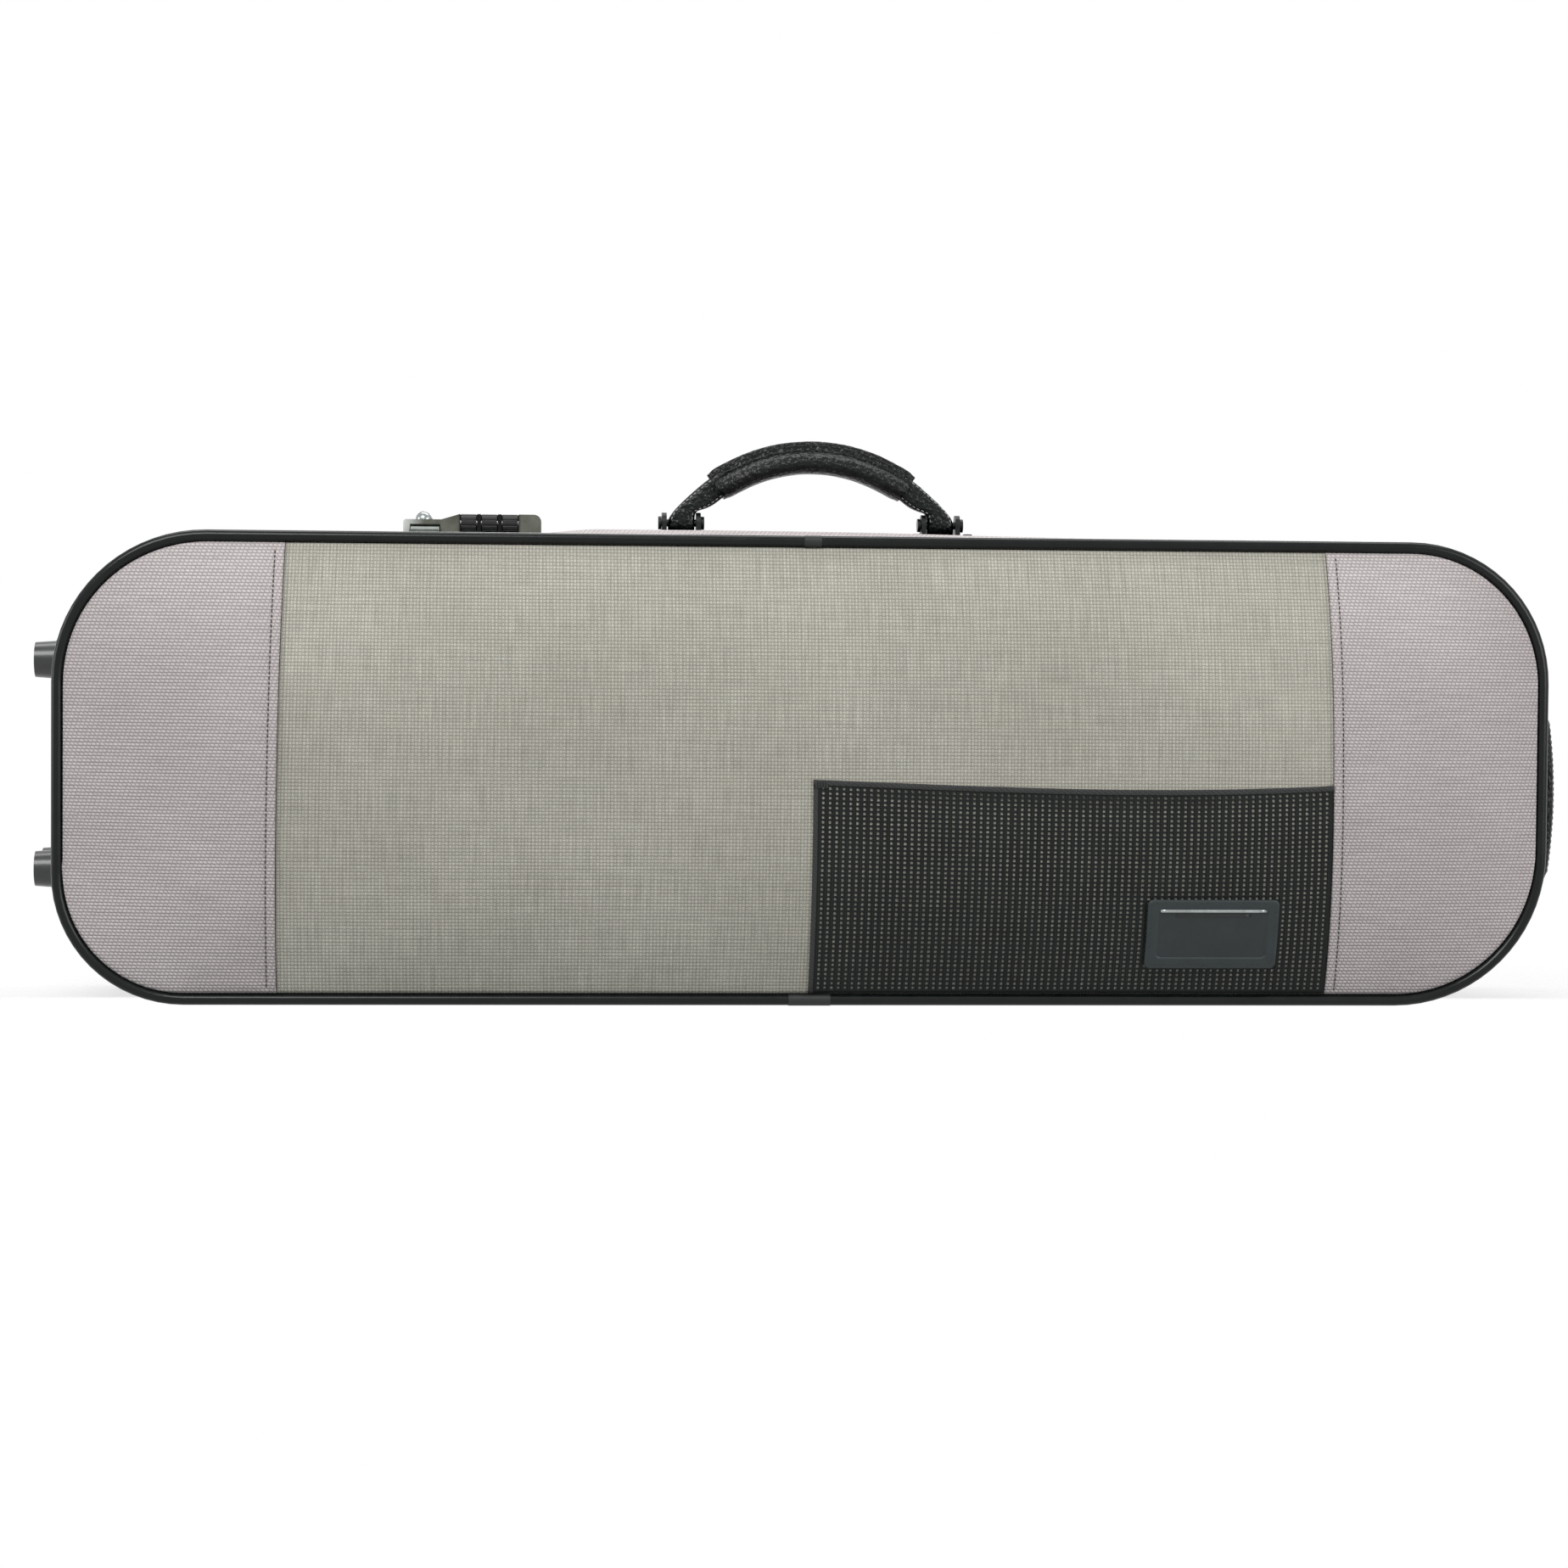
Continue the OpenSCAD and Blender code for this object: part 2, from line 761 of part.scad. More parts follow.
// ---- hinges ----

module leaf_plate(side) {
    in = leaf_in - hinge_depth;
    translate([-hinge_w / 2, in - leaf_t, side > 0 ? 0 : -leaf_h]) cube([hinge_w, leaf_t, leaf_h]);
}

// Room for the other leaf's knuckle between two distances along the hinge
module knuckle_room(from, to) {
    rod(knuckle_r + knuckle_gap, from, to);
}

module hinge_base_leaves() {
    mid = knuckle_w / 2 + knuckle_gap / 2;
    color(gunmetal) stand() at_hinges() difference() {
        union() {
            rod(knuckle_r, -hinge_w / 2, -mid);
            rod(knuckle_r, mid, hinge_w / 2);
            leaf_plate(-1);
        }
        knuckle_room(-mid, mid);
        rod(hinge_pin_r + fit, -hinge_w, hinge_w);
    }
}

module hinge_lid_leaves() {
    mid = knuckle_w / 2 - knuckle_gap / 2;
    color(gunmetal) stand() at_hinges() difference() {
        union() {
            rod(knuckle_r, -mid, mid);
            leaf_plate(1);
        }
        knuckle_room(-hinge_w / 2 - past, -mid);
        knuckle_room(mid, hinge_w / 2 + past);
        rod(hinge_pin_r + fit, -hinge_w, hinge_w);
    }
}

module hinge_pins() {
    color(light_metal) stand() at_hinges() rod(hinge_pin_r, -hinge_w / 2, hinge_w / 2);
}

// ---- lock ----

module lock_plate() {
    color(gunmetal) stand() difference() {
        block([lock_left - 1, case_h, lock_z - lock_w / 2 - 1],
            [lock_left + lock_l + 1, case_h + plate_t, lock_front + 1]);
        lock_bores(screw_r + fit, plate_t + past);
    }
}

// The side view of the housing above the plate
module lock_profile() {
    r = 4;
    top = lock_h - plate_t;
    low = low_h - plate_t;
    difference() {
        polygon([[0, 0], [0, low - 1], [1, low], [low_l, low], [low_l + ramp_l, top],
            [lock_l, top], [lock_l, 0]]);
        translate([lock_l - r, top - r]) difference() {
            square(r + past);
            circle(r, $fn = small);
        }
    }
}

module lock_housing() {
    y = case_h + plate_t;
    slot = tongue_w / 2 + 0.5;
    tongue_mid = tongue_left + tongue_w / 2;
    color(gunmetal) stand() difference() {
        translate([lock_left, y, lock_z - lock_w / 2]) linear_extrude(lock_w) lock_profile();
        difference() {
            block([dial_mid - bay_half, y - past, dial_z - dial_r - 0.4],
                [dial_mid + bay_half, y + lock_h, lock_front + past]);
            for (k = [-0.5, 0.5]) {
                block([dial_mid + k * dial_pitch - rib_w / 2, y - past, dial_z - dial_r - past],
                    [dial_mid + k * dial_pitch + rib_w / 2, y + lock_h, lock_front]);
            }
        }
        block([cavity_left, y - past, lock_z - 9], [cavity_right, case_h + cavity_top, lock_front - 1.5]);
        block([tongue_mid - slot, case_h + tongue_low - 0.4, lock_z],
            [tongue_mid + slot, case_h + tongue_low + tongue_t + 1.6, lock_front + past]);
        block([knob_x - slide_travel - stem_r - 0.3, case_h + cavity_top - past, lock_z - 1 - stem_r - 0.3],
            [knob_x + stem_r + 0.3, case_h + low_h + past, lock_z - 1 + stem_r + 0.3]);
        translate([0, dial_y, dial_z]) rod(axle_r + fit, cavity_right + past, lock_left + lock_l - 5);
        lock_bores(screw_r + fit, plate_t + 5);
    }
}

module lock_axle() {
    color(light_metal) stand() translate([0, dial_y, dial_z])
        rod(axle_r, cavity_right + 1.5, lock_left + lock_l - 5.5);
}

module lock_screws() {
    color(light_metal) stand() for (p = screw_places) {
        translate([p[0], case_h, p[1]]) rotate([90, 0, 0]) {
            translate([0, 0, -plate_t - 4]) cylinder(r = screw_r, h = shell_in + plate_t + 4, $fn = small);
        }
    }
}

// A numbered wheel, here with plain finger grooves
module dial(k) {
    grooves = 10;
    half = dial_w / 2;
    color(black_vinyl) stand() translate([dial_mid + k * dial_pitch, dial_y, dial_z]) difference() {
        rod(dial_r, -half, half);
        rod(axle_r + fit, -dial_w, dial_w);
        for (i = [0 : grooves - 1]) {
            rotate([i * 360 / grooves, 0, 0]) translate([0, dial_r + 0.2, 0]) rod(0.6, -dial_w, dial_w);
        }
    }
}

module dial_left() {
    dial(-1);
}

module dial_middle() {
    dial(0);
}

module dial_right() {
    dial(1);
}

module lock_knob() {
    rest = case_h + low_h + 0.2;
    color(light_metal) stand() {
        translate([knob_x, rest, lock_z - 1]) intersection() {
            sphere(knob_r, $fn = fine);
            block([-knob_r, 0, -knob_r], [knob_r, knob_r, knob_r]);
        }
        translate([knob_x, rest + past, lock_z - 1]) rotate([90, 0, 0])
            cylinder(r = stem_r, h = rest + past - case_h - slider_low - slider_t, $fn = small);
    }
}

module lock_bolt() {
    low = case_h + slider_low;
    z = lock_z - 1;
    color(light_metal) stand() {
        block([knob_x - 3.2, low, z - 2], [bolt_x + bolt_w, low + slider_t, z + 2]);
        block([bolt_x, case_h + tongue_low - 0.2, z - 2], [bolt_x + bolt_w, low + past, z + 2]);
    }
}

module hasp() {
    low = tongue_low;
    high = tongue_low + tongue_t;
    end = lock_z - 7;
    step = lock_front + 6;
    z = lock_z - 1;
    color(light_metal) stand() difference() {
        translate([tongue_left, case_h, 0]) rotate([90, 0, 90]) linear_extrude(tongue_w)
            polygon([[0, z_frame_top - 2], [1.5, z_frame_top - 2], [1.5, step + 3], [high, step],
                [high, end], [low, end], [low, step - 1], [0, step + 2]]);
        block([tongue_left + tongue_w - notch_w, case_h + past, z - 3],
            [tongue_left + tongue_w + past, case_h + lock_h, z + 3]);
    }
}

// ---- handle ----

module handle_place() {
    translate([handle_x, handle_cy, -handle_back]) children();
}

module bracket(side) {
    color(gunmetal) stand() difference() {
        translate([handle_x + side * pivot_out, 0, -handle_back]) difference() {
            union() {
                block([-bracket_l / 2, case_h, -bracket_w / 2],
                    [bracket_l / 2, case_h + bracket_t, bracket_w / 2]);
                for (k = [-1, 1]) {
                    x = k * (barrel_l / 2 + ear_gap + ear_t / 2);
                    block([x - ear_t / 2, case_h + past, -ear_r], [x + ear_t / 2, pivot_y, ear_r]);
                    translate([0, pivot_y, 0]) rod(ear_r, x - ear_t / 2, x + ear_t / 2);
                }
            }
            translate([0, pivot_y, 0]) rod(pivot_r + fit, -bracket_l, bracket_l);
        }
        rivet_bores(rivet_r + fit);
    }
}

module handle_bracket_left() {
    bracket(-1);
}

module handle_bracket_right() {
    bracket(1);
}

module handle_pins() {
    reach = barrel_l / 2 + ear_gap + ear_t + layer_gap;
    color(light_metal) stand() for (side = [-1, 1]) {
        translate([handle_x + side * pivot_out, pivot_y, -handle_back]) {
            rod(pivot_r, -reach - past, reach + past);
            rod(pivot_r + 1.6, -reach - 1.6, -reach);
            rod(pivot_r + 1.6, reach, reach + 1.6);
        }
    }
}

module handle_rivets() {
    color(gunmetal) stand() for (p = rivet_places) {
        translate([p[0], case_h + bracket_t, p[1]]) rotate([90, 0, 0]) {
            cylinder(r = rivet_r, h = bracket_t + shell_in, $fn = small);
            translate([0, 0, -1.2]) cylinder(r1 = rivet_head_r - 1, r2 = rivet_head_r, h = 1.2, $fn = small);
        }
    }
}

// An arc round the handle's centre, from the vertical to each side
module handle_arc(half_angle) {
    rotate(90 - half_angle) rotate_extrude(angle = 2 * half_angle, $fn = fine) children();
}

// A rectangle with round ends, w across and t thick, lying along the depth
module stadium(radius, across, deep) {
    r = across / 2;
    translate([radius, 0]) {
        square([across, deep - across], center = true);
        for (k = [-1, 1]) {
            translate([0, k * (deep / 2 - r)]) circle(r, $fn = small);
        }
    }
}

module strap_profile(extra) {
    translate([strap_mid_r, 0]) square([strap_w + extra, strap_t + extra], center = true);
}

module handle_strap() {
    swing = barrel_l / 2;
    color(leather_black) stand() difference() {
        union() {
            handle_place() handle_arc(90 - pivot_angle - strap_end) strap_profile(0);
            for (side = [-1, 1]) {
                translate([handle_x + side * pivot_out, pivot_y, -handle_back]) rod(barrel_r, -swing, swing);
            }
        }
        for (side = [-1, 1]) {
            translate([handle_x + side * pivot_out, pivot_y, -handle_back]) {
                rod(pivot_r + fit, -bracket_l, bracket_l);
                rod(ear_r + ear_room, -swing - bracket_l, -swing);
                rod(ear_r + ear_room, swing, swing + bracket_l);
            }
        }
    }
}

module handle_grip() {
    color(leather_black) stand() handle_place() difference() {
        handle_arc(grip_angle) stadium(strap_mid_r, grip_t, grip_w);
        handle_arc(grip_angle + past) strap_profile(2 * layer_gap);
    }
}

// ---- end handle ----

end_x = half_l + end_handle_rise - end_handle_r;
end_handle_y = mid_y - end_handle_drop;
webbing_out = (pad_t - webbing_t) / 2;

// A bow of the end handle, drawn in x and y, between two distances inside its outer curve
module bow_band(outer, inside, half) {
    translate([end_x, end_handle_y]) difference() {
        intersection() {
            circle(end_handle_r - outer, $fn = 4 * fine);
            translate([0, -half]) square([end_handle_r, 2 * half]);
        }
        circle(end_handle_r - inside, $fn = 4 * fine);
    }
}

// Distance from the middle of a point on the bow, at a height above the bow's middle
function bow_x(inside, y) = end_x + sqrt(pow(end_handle_r - inside, 2) - y * y);

// The webbing's path, drawn in x and y: its bow and a leg at each end that runs into the case
module webbing_path() {
    steps = 12;
    half = end_handle_half;
    root = half_l - 12;
    outer = [for (k = [-steps:steps]) [bow_x(webbing_out, half * k / steps), half * k / steps]];
    inner = [for (k = [-steps:steps])
        [bow_x(webbing_out + webbing_t, -half * k / steps), -half * k / steps]];
    leg = [[half_l + past, half + 10], [root, half + 10], [root, half + 6], [half_l - webbing_t, half + 6]];
    lower_leg = [for (k = [3:-1:0]) [leg[k][0], -leg[k][1]]];
    translate([0, end_handle_y]) polygon(concat(outer, leg, inner, lower_leg));
}

module end_handle_strap() {
    color(leather_black) stand() difference() {
        translate([0, 0, -end_handle_back - webbing_w / 2]) linear_extrude(webbing_w) webbing_path();
        slab(-layer_gap - webbing_t, z_back - past, z_rim);
    }
}

module end_handle_pad() {
    half = end_handle_half - 5;
    gap = layer_gap;
    w = webbing_w + 4;
    color(leather_black) stand() difference() {
        translate([0, 0, -end_handle_back - w / 2]) linear_extrude(w) bow_band(0, pad_t, half);
        translate([0, 0, -end_handle_back - webbing_w / 2 - gap]) linear_extrude(webbing_w + 2 * gap)
            bow_band(webbing_out - gap, webbing_out + webbing_t + gap, half + past);
    }
}

module end_handle_plates() {
    w = webbing_w / 2 + 2;
    color(black_vinyl) stand() for (side = [-1, 1]) {
        y = end_handle_y + side * (end_handle_half + 9);
        intersection() {
            difference() {
                slab(-webbing_t, z_back + back_r, z_rim - 3);
                slab(-layer_gap / 2, z_back, z_rim);
            }
            block([half_l - corner_br, y - 8, -end_handle_back - w],
                [half_l + webbing_t, y + 8, -end_handle_back + w]);
        }
    }
}

// ---- shoulder strap rings ----

module ring_tabs() {
    tab_l = 2 * ring_r - 6;
    color(black_vinyl) stand() for (side = [-1, 1]) {
        translate([side * ring_x, ring_y, 0]) difference() {
            union() {
                block([-tab_l / 2, -wire_r - tab_out, z_back - layer_gap - tab_out],
                    [tab_l / 2, 22, z_back - layer_gap]);
                translate([0, 0, ring_axis_z]) rod(wire_r + tab_out, -tab_l / 2, tab_l / 2);
            }
            translate([0, 0, ring_axis_z]) rod(wire_r + fit, -tab_l, tab_l);
        }
    }
}

module ring(side) {
    color(gunmetal) stand() translate([side * ring_x, ring_y, ring_axis_z]) {
        rod(wire_r, -ring_bar, ring_bar);
        rotate(180) rotate_extrude(angle = 180, $fn = fine)
            translate([ring_bar, 0]) circle(wire_r, $fn = small);
        for (k = [-1, 1]) {
            translate([k * ring_bar, 0, 0]) sphere(wire_r, $fn = small);
        }
    }
}

module ring_left() {
    ring(-1);
}

module ring_right() {
    ring(1);
}

// ---- lid ----

module lid_frame() {
    color(foam) stand() difference() {
        around() {
            band(shell_out, shell_in, z_lid_low, z_frame_top);
            band(shell_in, shell_in + ledge_w, z_ledge - ledge_t, z_ledge);
        }
        hinge_groove();
        hinge_pockets(1);
    }
}

module lid_panel() {
    end = half_l - panel_inset;
    color(foam) stand() arched_layer(panel_inset, -end, end, z_panel, panel_t);
}

module lid_cover_centre() {
    gap = layer_gap / 2;
    color(khaki) stand() arched_layer(cover_inset, gap - seam_left, seam_right - gap, z_cover, cover_t);
}

module lid_cover_left() {
    end = half_l - cover_inset;
    color(mauve) stand()
        arched_layer(cover_inset, -end, -seam_left - layer_gap / 2, z_cover + hem_rise, cover_t + hem_rise);
}

module lid_cover_right() {
    end = half_l - cover_inset;
    color(mauve) stand()
        arched_layer(cover_inset, seam_right + layer_gap / 2, end, z_cover + hem_rise, cover_t + hem_rise);
}

module lid_side_cover() {
    color(mauve) stand() difference() {
        around() band(0, cover_t, z_lid_low, z_frame_top);
        hinge_groove();
        strip_room(z_rim - past, z_front);
    }
}

module lid_wear_strip() {
    w = strip_l / 2;
    color(black_vinyl) stand() difference() {
        block([-w, 0, z_lid_low], [w, cover_t, z_frame_top]);
        hinge_groove();
    }
}

module lid_piping() {
    color(black_vinyl) stand() around() translate([-piping_r, z_piping]) circle(piping_r, $fn = small);
}

module piping_clips() {
    color(black_vinyl) stand() for (place = [[case_h - piping_r, 9], [piping_r, 22]]) {
        y = place[0];
        reach = place[1] / 2;
        intersection() {
            translate([0, y, z_piping]) difference() {
                rod(piping_r + 0.6, -reach, reach);
                rod(piping_r + 0.05, -reach - past, reach + past);
            }
            block([-reach - past, y - piping_r, z_piping - 0.5],
                [reach + past, y + piping_r, z_front + piping_r]);
        }
    }
}

module lid_lining() {
    end = half_l - lid_lining_inset;
    color(velour) stand() {
        arched_layer(lid_lining_inset, -end, end, z_ledge, lining_t);
        around() band(lining_out, lining_in, z_rim + valance_rise + 1, z_ledge - ledge_t - layer_gap);
    }
}

// ---- pocket and badge ----

module mesh_pocket() {
    color(black_mesh) stand() arched_patch(pocket_left, seam_right - layer_gap, cover_inset,
        pocket_top - binding_w / 2 - layer_gap, 8, z_mesh + mesh_t, mesh_t);
}

module pocket_binding() {
    color(black_vinyl) stand() arched_patch(pocket_left, seam_right - layer_gap,
        pocket_top - binding_w / 2, pocket_top + binding_w / 2, 2, z_mesh + mesh_t + 0.4, mesh_t + 0.4);
}

module badge() {
    b = badge_border;
    right = badge_left + badge_l;
    high = badge_low + badge_h;
    color(leather_black) stand() difference() {
        arched_patch(badge_left, right, badge_low, high, 6, z_badge + badge_t, badge_t);
        arched_patch(badge_left + b, right - b, badge_low + b, high - b, 4,
            z_badge + 2 * badge_t, badge_t + window_depth);
    }
}

// ---- bow holders ----

bow_places = [mid_y - bow_spread, mid_y + bow_spread];
post_r = 3;
post_l = 14;
head_r = 5;
head_t = 1.6;
clip_t = 4;
clip_w = 12;
disc_t = 2;
disc_r = 9;
loop_l = 40;
loop_w = 16;
loop_wall = 2;

// Height of the lining's inner face, at the side of a bow place where it is lowest
function lining_z(x, y, reach) = z_ledge - lining_t + arch(x, y < mid_y ? y - reach : y + reach);
function post_z(y) = lining_z(-clip_x - disc_r, y, disc_r) - layer_gap;

module bow_posts() {
    color(black_vinyl) stand() for (y = bow_places) {
        translate([-clip_x, y, post_z(y)]) {
            translate([0, 0, -disc_t]) cylinder(r = disc_r, h = disc_t, $fn = fine);
            translate([0, 0, -post_l]) cylinder(r = post_r, h = post_l, $fn = fine);
            translate([0, 0, -post_l - head_t]) cylinder(r = head_r, h = head_t, $fn = fine);
        }
    }
}

// A turn clip on its post, lying along the bow
module bow_clip(y) {
    arm = clip_l / 2 - clip_w / 2;
    color(leather_black) stand() translate([-clip_x, y, post_z(y) - post_l + layer_gap])
        linear_extrude(clip_t) difference() {
            union() {
                square([2 * arm, clip_w], center = true);
                for (side = [-1, 1]) {
                    translate([side * arm, 0]) circle(clip_w / 2, $fn = small);
                }
            }
            circle(post_r + fit, $fn = fine);
        }
}

module bow_clip_upper() {
    bow_clip(bow_places[1]);
}

module bow_clip_lower() {
    bow_clip(bow_places[0]);
}

module bow_tip_loops() {
    out = loop_w / 2 + loop_wall;
    half = loop_l / 2;
    color(velour) stand() for (y = bow_places) {
        z = lining_z(tip_x + half, y, out) - layer_gap;
        difference() {
            block([tip_x - half, y - out, z - loop_w - 2 * loop_wall], [tip_x + half, y + out, z]);
            block([tip_x - half - past, y - loop_w / 2, z - loop_w - loop_wall],
                [tip_x + half + past, y + loop_w / 2, z - loop_wall]);
        }
    }
}

base_shell();
base_cover();
base_piping();
base_wear_strip();
valance();
base_lining();
violin_bed();
suspension_pads();
neck_cradle();
neck_strap();
box_walls();
upper_box_lid();
lower_box_lid();
foot_front_upper();
foot_front_lower();
foot_back_upper();
foot_back_lower();
foot_screws();
hinge_base_leaves();
hinge_pins();
lock_plate();
lock_housing();
lock_axle();
lock_screws();
dial_left();
dial_middle();
dial_right();
lock_knob();
lock_bolt();
handle_bracket_left();
handle_bracket_right();
handle_pins();
handle_rivets();
handle_strap();
handle_grip();
end_handle_plates();
end_handle_strap();
end_handle_pad();
ring_tabs();
ring_left();
ring_right();
lid_frame();
lid_panel();
lid_cover_centre();
lid_cover_left();
lid_cover_right();
lid_side_cover();
lid_wear_strip();
lid_piping();
piping_clips();
lid_lining();
mesh_pocket();
pocket_binding();
badge();
hasp();
hinge_lid_leaves();
bow_posts();
bow_clip_upper();
bow_clip_lower();
bow_tip_loops();
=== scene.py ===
"""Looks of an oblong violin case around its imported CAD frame. Metres, X length, -Y lid, Z up."""
import json
import math

import bmesh
import bpy
import numpy as np
from mathutils import Matrix, Vector, noise
from mathutils.bvhtree import BVHTree
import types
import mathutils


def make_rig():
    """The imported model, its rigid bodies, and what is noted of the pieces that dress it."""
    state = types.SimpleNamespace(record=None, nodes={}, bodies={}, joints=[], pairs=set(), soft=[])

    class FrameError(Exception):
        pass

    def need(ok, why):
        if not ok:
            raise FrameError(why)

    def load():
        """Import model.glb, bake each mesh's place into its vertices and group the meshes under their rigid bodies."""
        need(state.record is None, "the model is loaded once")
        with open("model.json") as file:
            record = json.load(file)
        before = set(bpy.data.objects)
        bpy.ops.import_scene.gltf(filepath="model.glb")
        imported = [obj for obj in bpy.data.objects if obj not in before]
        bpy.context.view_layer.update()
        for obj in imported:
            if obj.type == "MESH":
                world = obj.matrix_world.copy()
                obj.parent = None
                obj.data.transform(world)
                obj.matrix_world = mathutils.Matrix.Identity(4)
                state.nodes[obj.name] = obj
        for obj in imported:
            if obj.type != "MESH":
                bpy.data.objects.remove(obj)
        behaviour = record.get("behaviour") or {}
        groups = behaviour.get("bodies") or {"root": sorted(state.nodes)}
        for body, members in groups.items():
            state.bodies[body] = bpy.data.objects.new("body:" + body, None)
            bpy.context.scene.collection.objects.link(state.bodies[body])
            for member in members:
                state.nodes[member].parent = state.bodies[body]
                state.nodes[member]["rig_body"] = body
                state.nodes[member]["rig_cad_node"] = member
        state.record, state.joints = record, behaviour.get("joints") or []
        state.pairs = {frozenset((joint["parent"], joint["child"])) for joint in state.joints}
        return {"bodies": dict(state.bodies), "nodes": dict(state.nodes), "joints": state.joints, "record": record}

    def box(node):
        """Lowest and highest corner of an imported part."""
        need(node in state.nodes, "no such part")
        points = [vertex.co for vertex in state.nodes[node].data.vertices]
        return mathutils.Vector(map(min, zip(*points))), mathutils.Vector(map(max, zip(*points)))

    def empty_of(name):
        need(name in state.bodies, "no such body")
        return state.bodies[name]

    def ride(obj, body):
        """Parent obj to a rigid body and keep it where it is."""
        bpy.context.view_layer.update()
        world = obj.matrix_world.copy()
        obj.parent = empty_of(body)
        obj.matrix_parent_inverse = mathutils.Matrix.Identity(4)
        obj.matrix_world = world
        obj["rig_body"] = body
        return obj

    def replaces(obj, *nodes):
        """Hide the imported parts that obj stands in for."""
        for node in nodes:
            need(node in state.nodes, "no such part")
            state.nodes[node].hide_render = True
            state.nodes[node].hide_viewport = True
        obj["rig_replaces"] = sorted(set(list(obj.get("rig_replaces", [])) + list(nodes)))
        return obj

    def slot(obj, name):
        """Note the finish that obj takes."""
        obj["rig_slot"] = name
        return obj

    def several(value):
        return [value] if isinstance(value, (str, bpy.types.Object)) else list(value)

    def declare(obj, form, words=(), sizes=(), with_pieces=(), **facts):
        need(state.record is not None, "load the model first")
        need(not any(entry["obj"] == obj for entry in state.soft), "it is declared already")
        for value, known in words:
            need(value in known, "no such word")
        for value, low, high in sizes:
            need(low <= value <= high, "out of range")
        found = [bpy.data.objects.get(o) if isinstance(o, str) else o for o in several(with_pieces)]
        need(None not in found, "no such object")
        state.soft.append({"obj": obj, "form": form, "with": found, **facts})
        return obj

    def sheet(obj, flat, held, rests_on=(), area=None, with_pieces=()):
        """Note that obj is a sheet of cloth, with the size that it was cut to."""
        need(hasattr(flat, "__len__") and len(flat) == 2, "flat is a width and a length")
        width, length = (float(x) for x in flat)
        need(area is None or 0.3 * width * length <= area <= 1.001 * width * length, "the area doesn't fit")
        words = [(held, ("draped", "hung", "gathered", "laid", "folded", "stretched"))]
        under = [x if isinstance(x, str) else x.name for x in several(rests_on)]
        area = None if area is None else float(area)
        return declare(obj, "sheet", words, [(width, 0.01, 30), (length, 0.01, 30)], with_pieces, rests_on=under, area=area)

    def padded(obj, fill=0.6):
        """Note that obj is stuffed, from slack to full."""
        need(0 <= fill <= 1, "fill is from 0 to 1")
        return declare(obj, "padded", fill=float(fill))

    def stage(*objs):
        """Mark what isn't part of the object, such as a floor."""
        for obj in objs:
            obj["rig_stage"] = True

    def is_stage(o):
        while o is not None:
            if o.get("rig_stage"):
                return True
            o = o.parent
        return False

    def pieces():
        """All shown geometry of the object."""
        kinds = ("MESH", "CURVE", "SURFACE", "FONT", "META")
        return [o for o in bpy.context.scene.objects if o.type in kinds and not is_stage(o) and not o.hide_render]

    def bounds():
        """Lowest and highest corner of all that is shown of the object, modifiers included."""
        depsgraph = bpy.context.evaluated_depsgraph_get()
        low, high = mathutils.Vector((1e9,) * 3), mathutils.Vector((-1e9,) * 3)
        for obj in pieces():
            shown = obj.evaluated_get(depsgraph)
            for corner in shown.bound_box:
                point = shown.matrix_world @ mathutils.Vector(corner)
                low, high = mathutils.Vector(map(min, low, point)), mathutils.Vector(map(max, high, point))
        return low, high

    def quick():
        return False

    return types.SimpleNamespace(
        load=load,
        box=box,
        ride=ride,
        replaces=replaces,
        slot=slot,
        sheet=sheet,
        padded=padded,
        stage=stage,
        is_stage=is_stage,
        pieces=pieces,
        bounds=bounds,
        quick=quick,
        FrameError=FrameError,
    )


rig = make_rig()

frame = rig.load()
cad_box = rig.bounds()
nodes = frame["nodes"]
scene = bpy.context.scene

# ---- sizes shared with the CAD source, in millimetres, in its lying frame ----

MM = 0.001
CASE_L, CASE_H = 786.0, 246.0
HALF = CASE_L / 2
R_TL, R_TR, R_BL, R_BR = 79.0, 75.0, 68.0, 81.0
Z_RIM, BASE_DEPTH, LID_DEPTH = 19.0, 80.0, 42.0
Z_BACK, Z_FRONT = Z_RIM - BASE_DEPTH, Z_RIM + LID_DEPTH
RIM_GAP = 0.4
GIRTH = 2 * (CASE_L + CASE_H) + (math.pi / 2 - 2) * (R_TL + R_TR + R_BL + R_BR)
CROWN, BACK_R, PIPING_R = 25.0, 12.0, 3.0
COVER_T, SHELL_T, LINING_T, PANEL_T, GAP = 1.2, 5.0, 2.0, 4.0, 0.3
LINING_OUT = COVER_T + GAP + SHELL_T + GAP
LINING_IN = LINING_OUT + LINING_T
COVER_INSET = 2 * PIPING_R + GAP
Z_COVER = Z_FRONT - 2.0
Z_FRAME_TOP = Z_FRONT - 2 * PIPING_R - GAP
FLOOR, CEILING = Z_BACK + LINING_IN, Z_COVER - COVER_T - GAP - PANEL_T - GAP - LINING_T
SEAM_L, SEAM_R, POCKET_L = -275.0, 272.5, -1.0
HINGE_DEPTH, GROOVE, STRIP_HALF, STRIP_OUT = 3.6, math.tan(math.radians(54)), 290.0, 1.38
BADGE = (175.5, 20.5, 70.0, 37.0)
HANDLE_X, HANDLE_Y, HANDLE_BACK = 4.0, CASE_H - 42.6, 2.0
HANDLE_R, GRIP_T, STRAP_W, STRAP_T = 95.2, 17.8, 12.6, 10.0
STRAP_R = HANDLE_R - GRIP_T / 2
PIVOT_OUT, PIVOT_RISE = 69.9, 8.0
END_R, END_RISE, END_HALF, END_BACK = 290.0, 19.5, 50.0, 6.0
END_X, END_Y = HALF + END_RISE - END_R, CASE_H / 2 - 13.5
PAD_T, PAD_HALF, WEB_T, WEB_W = 8.0, 15.0, 2.6, 26.0
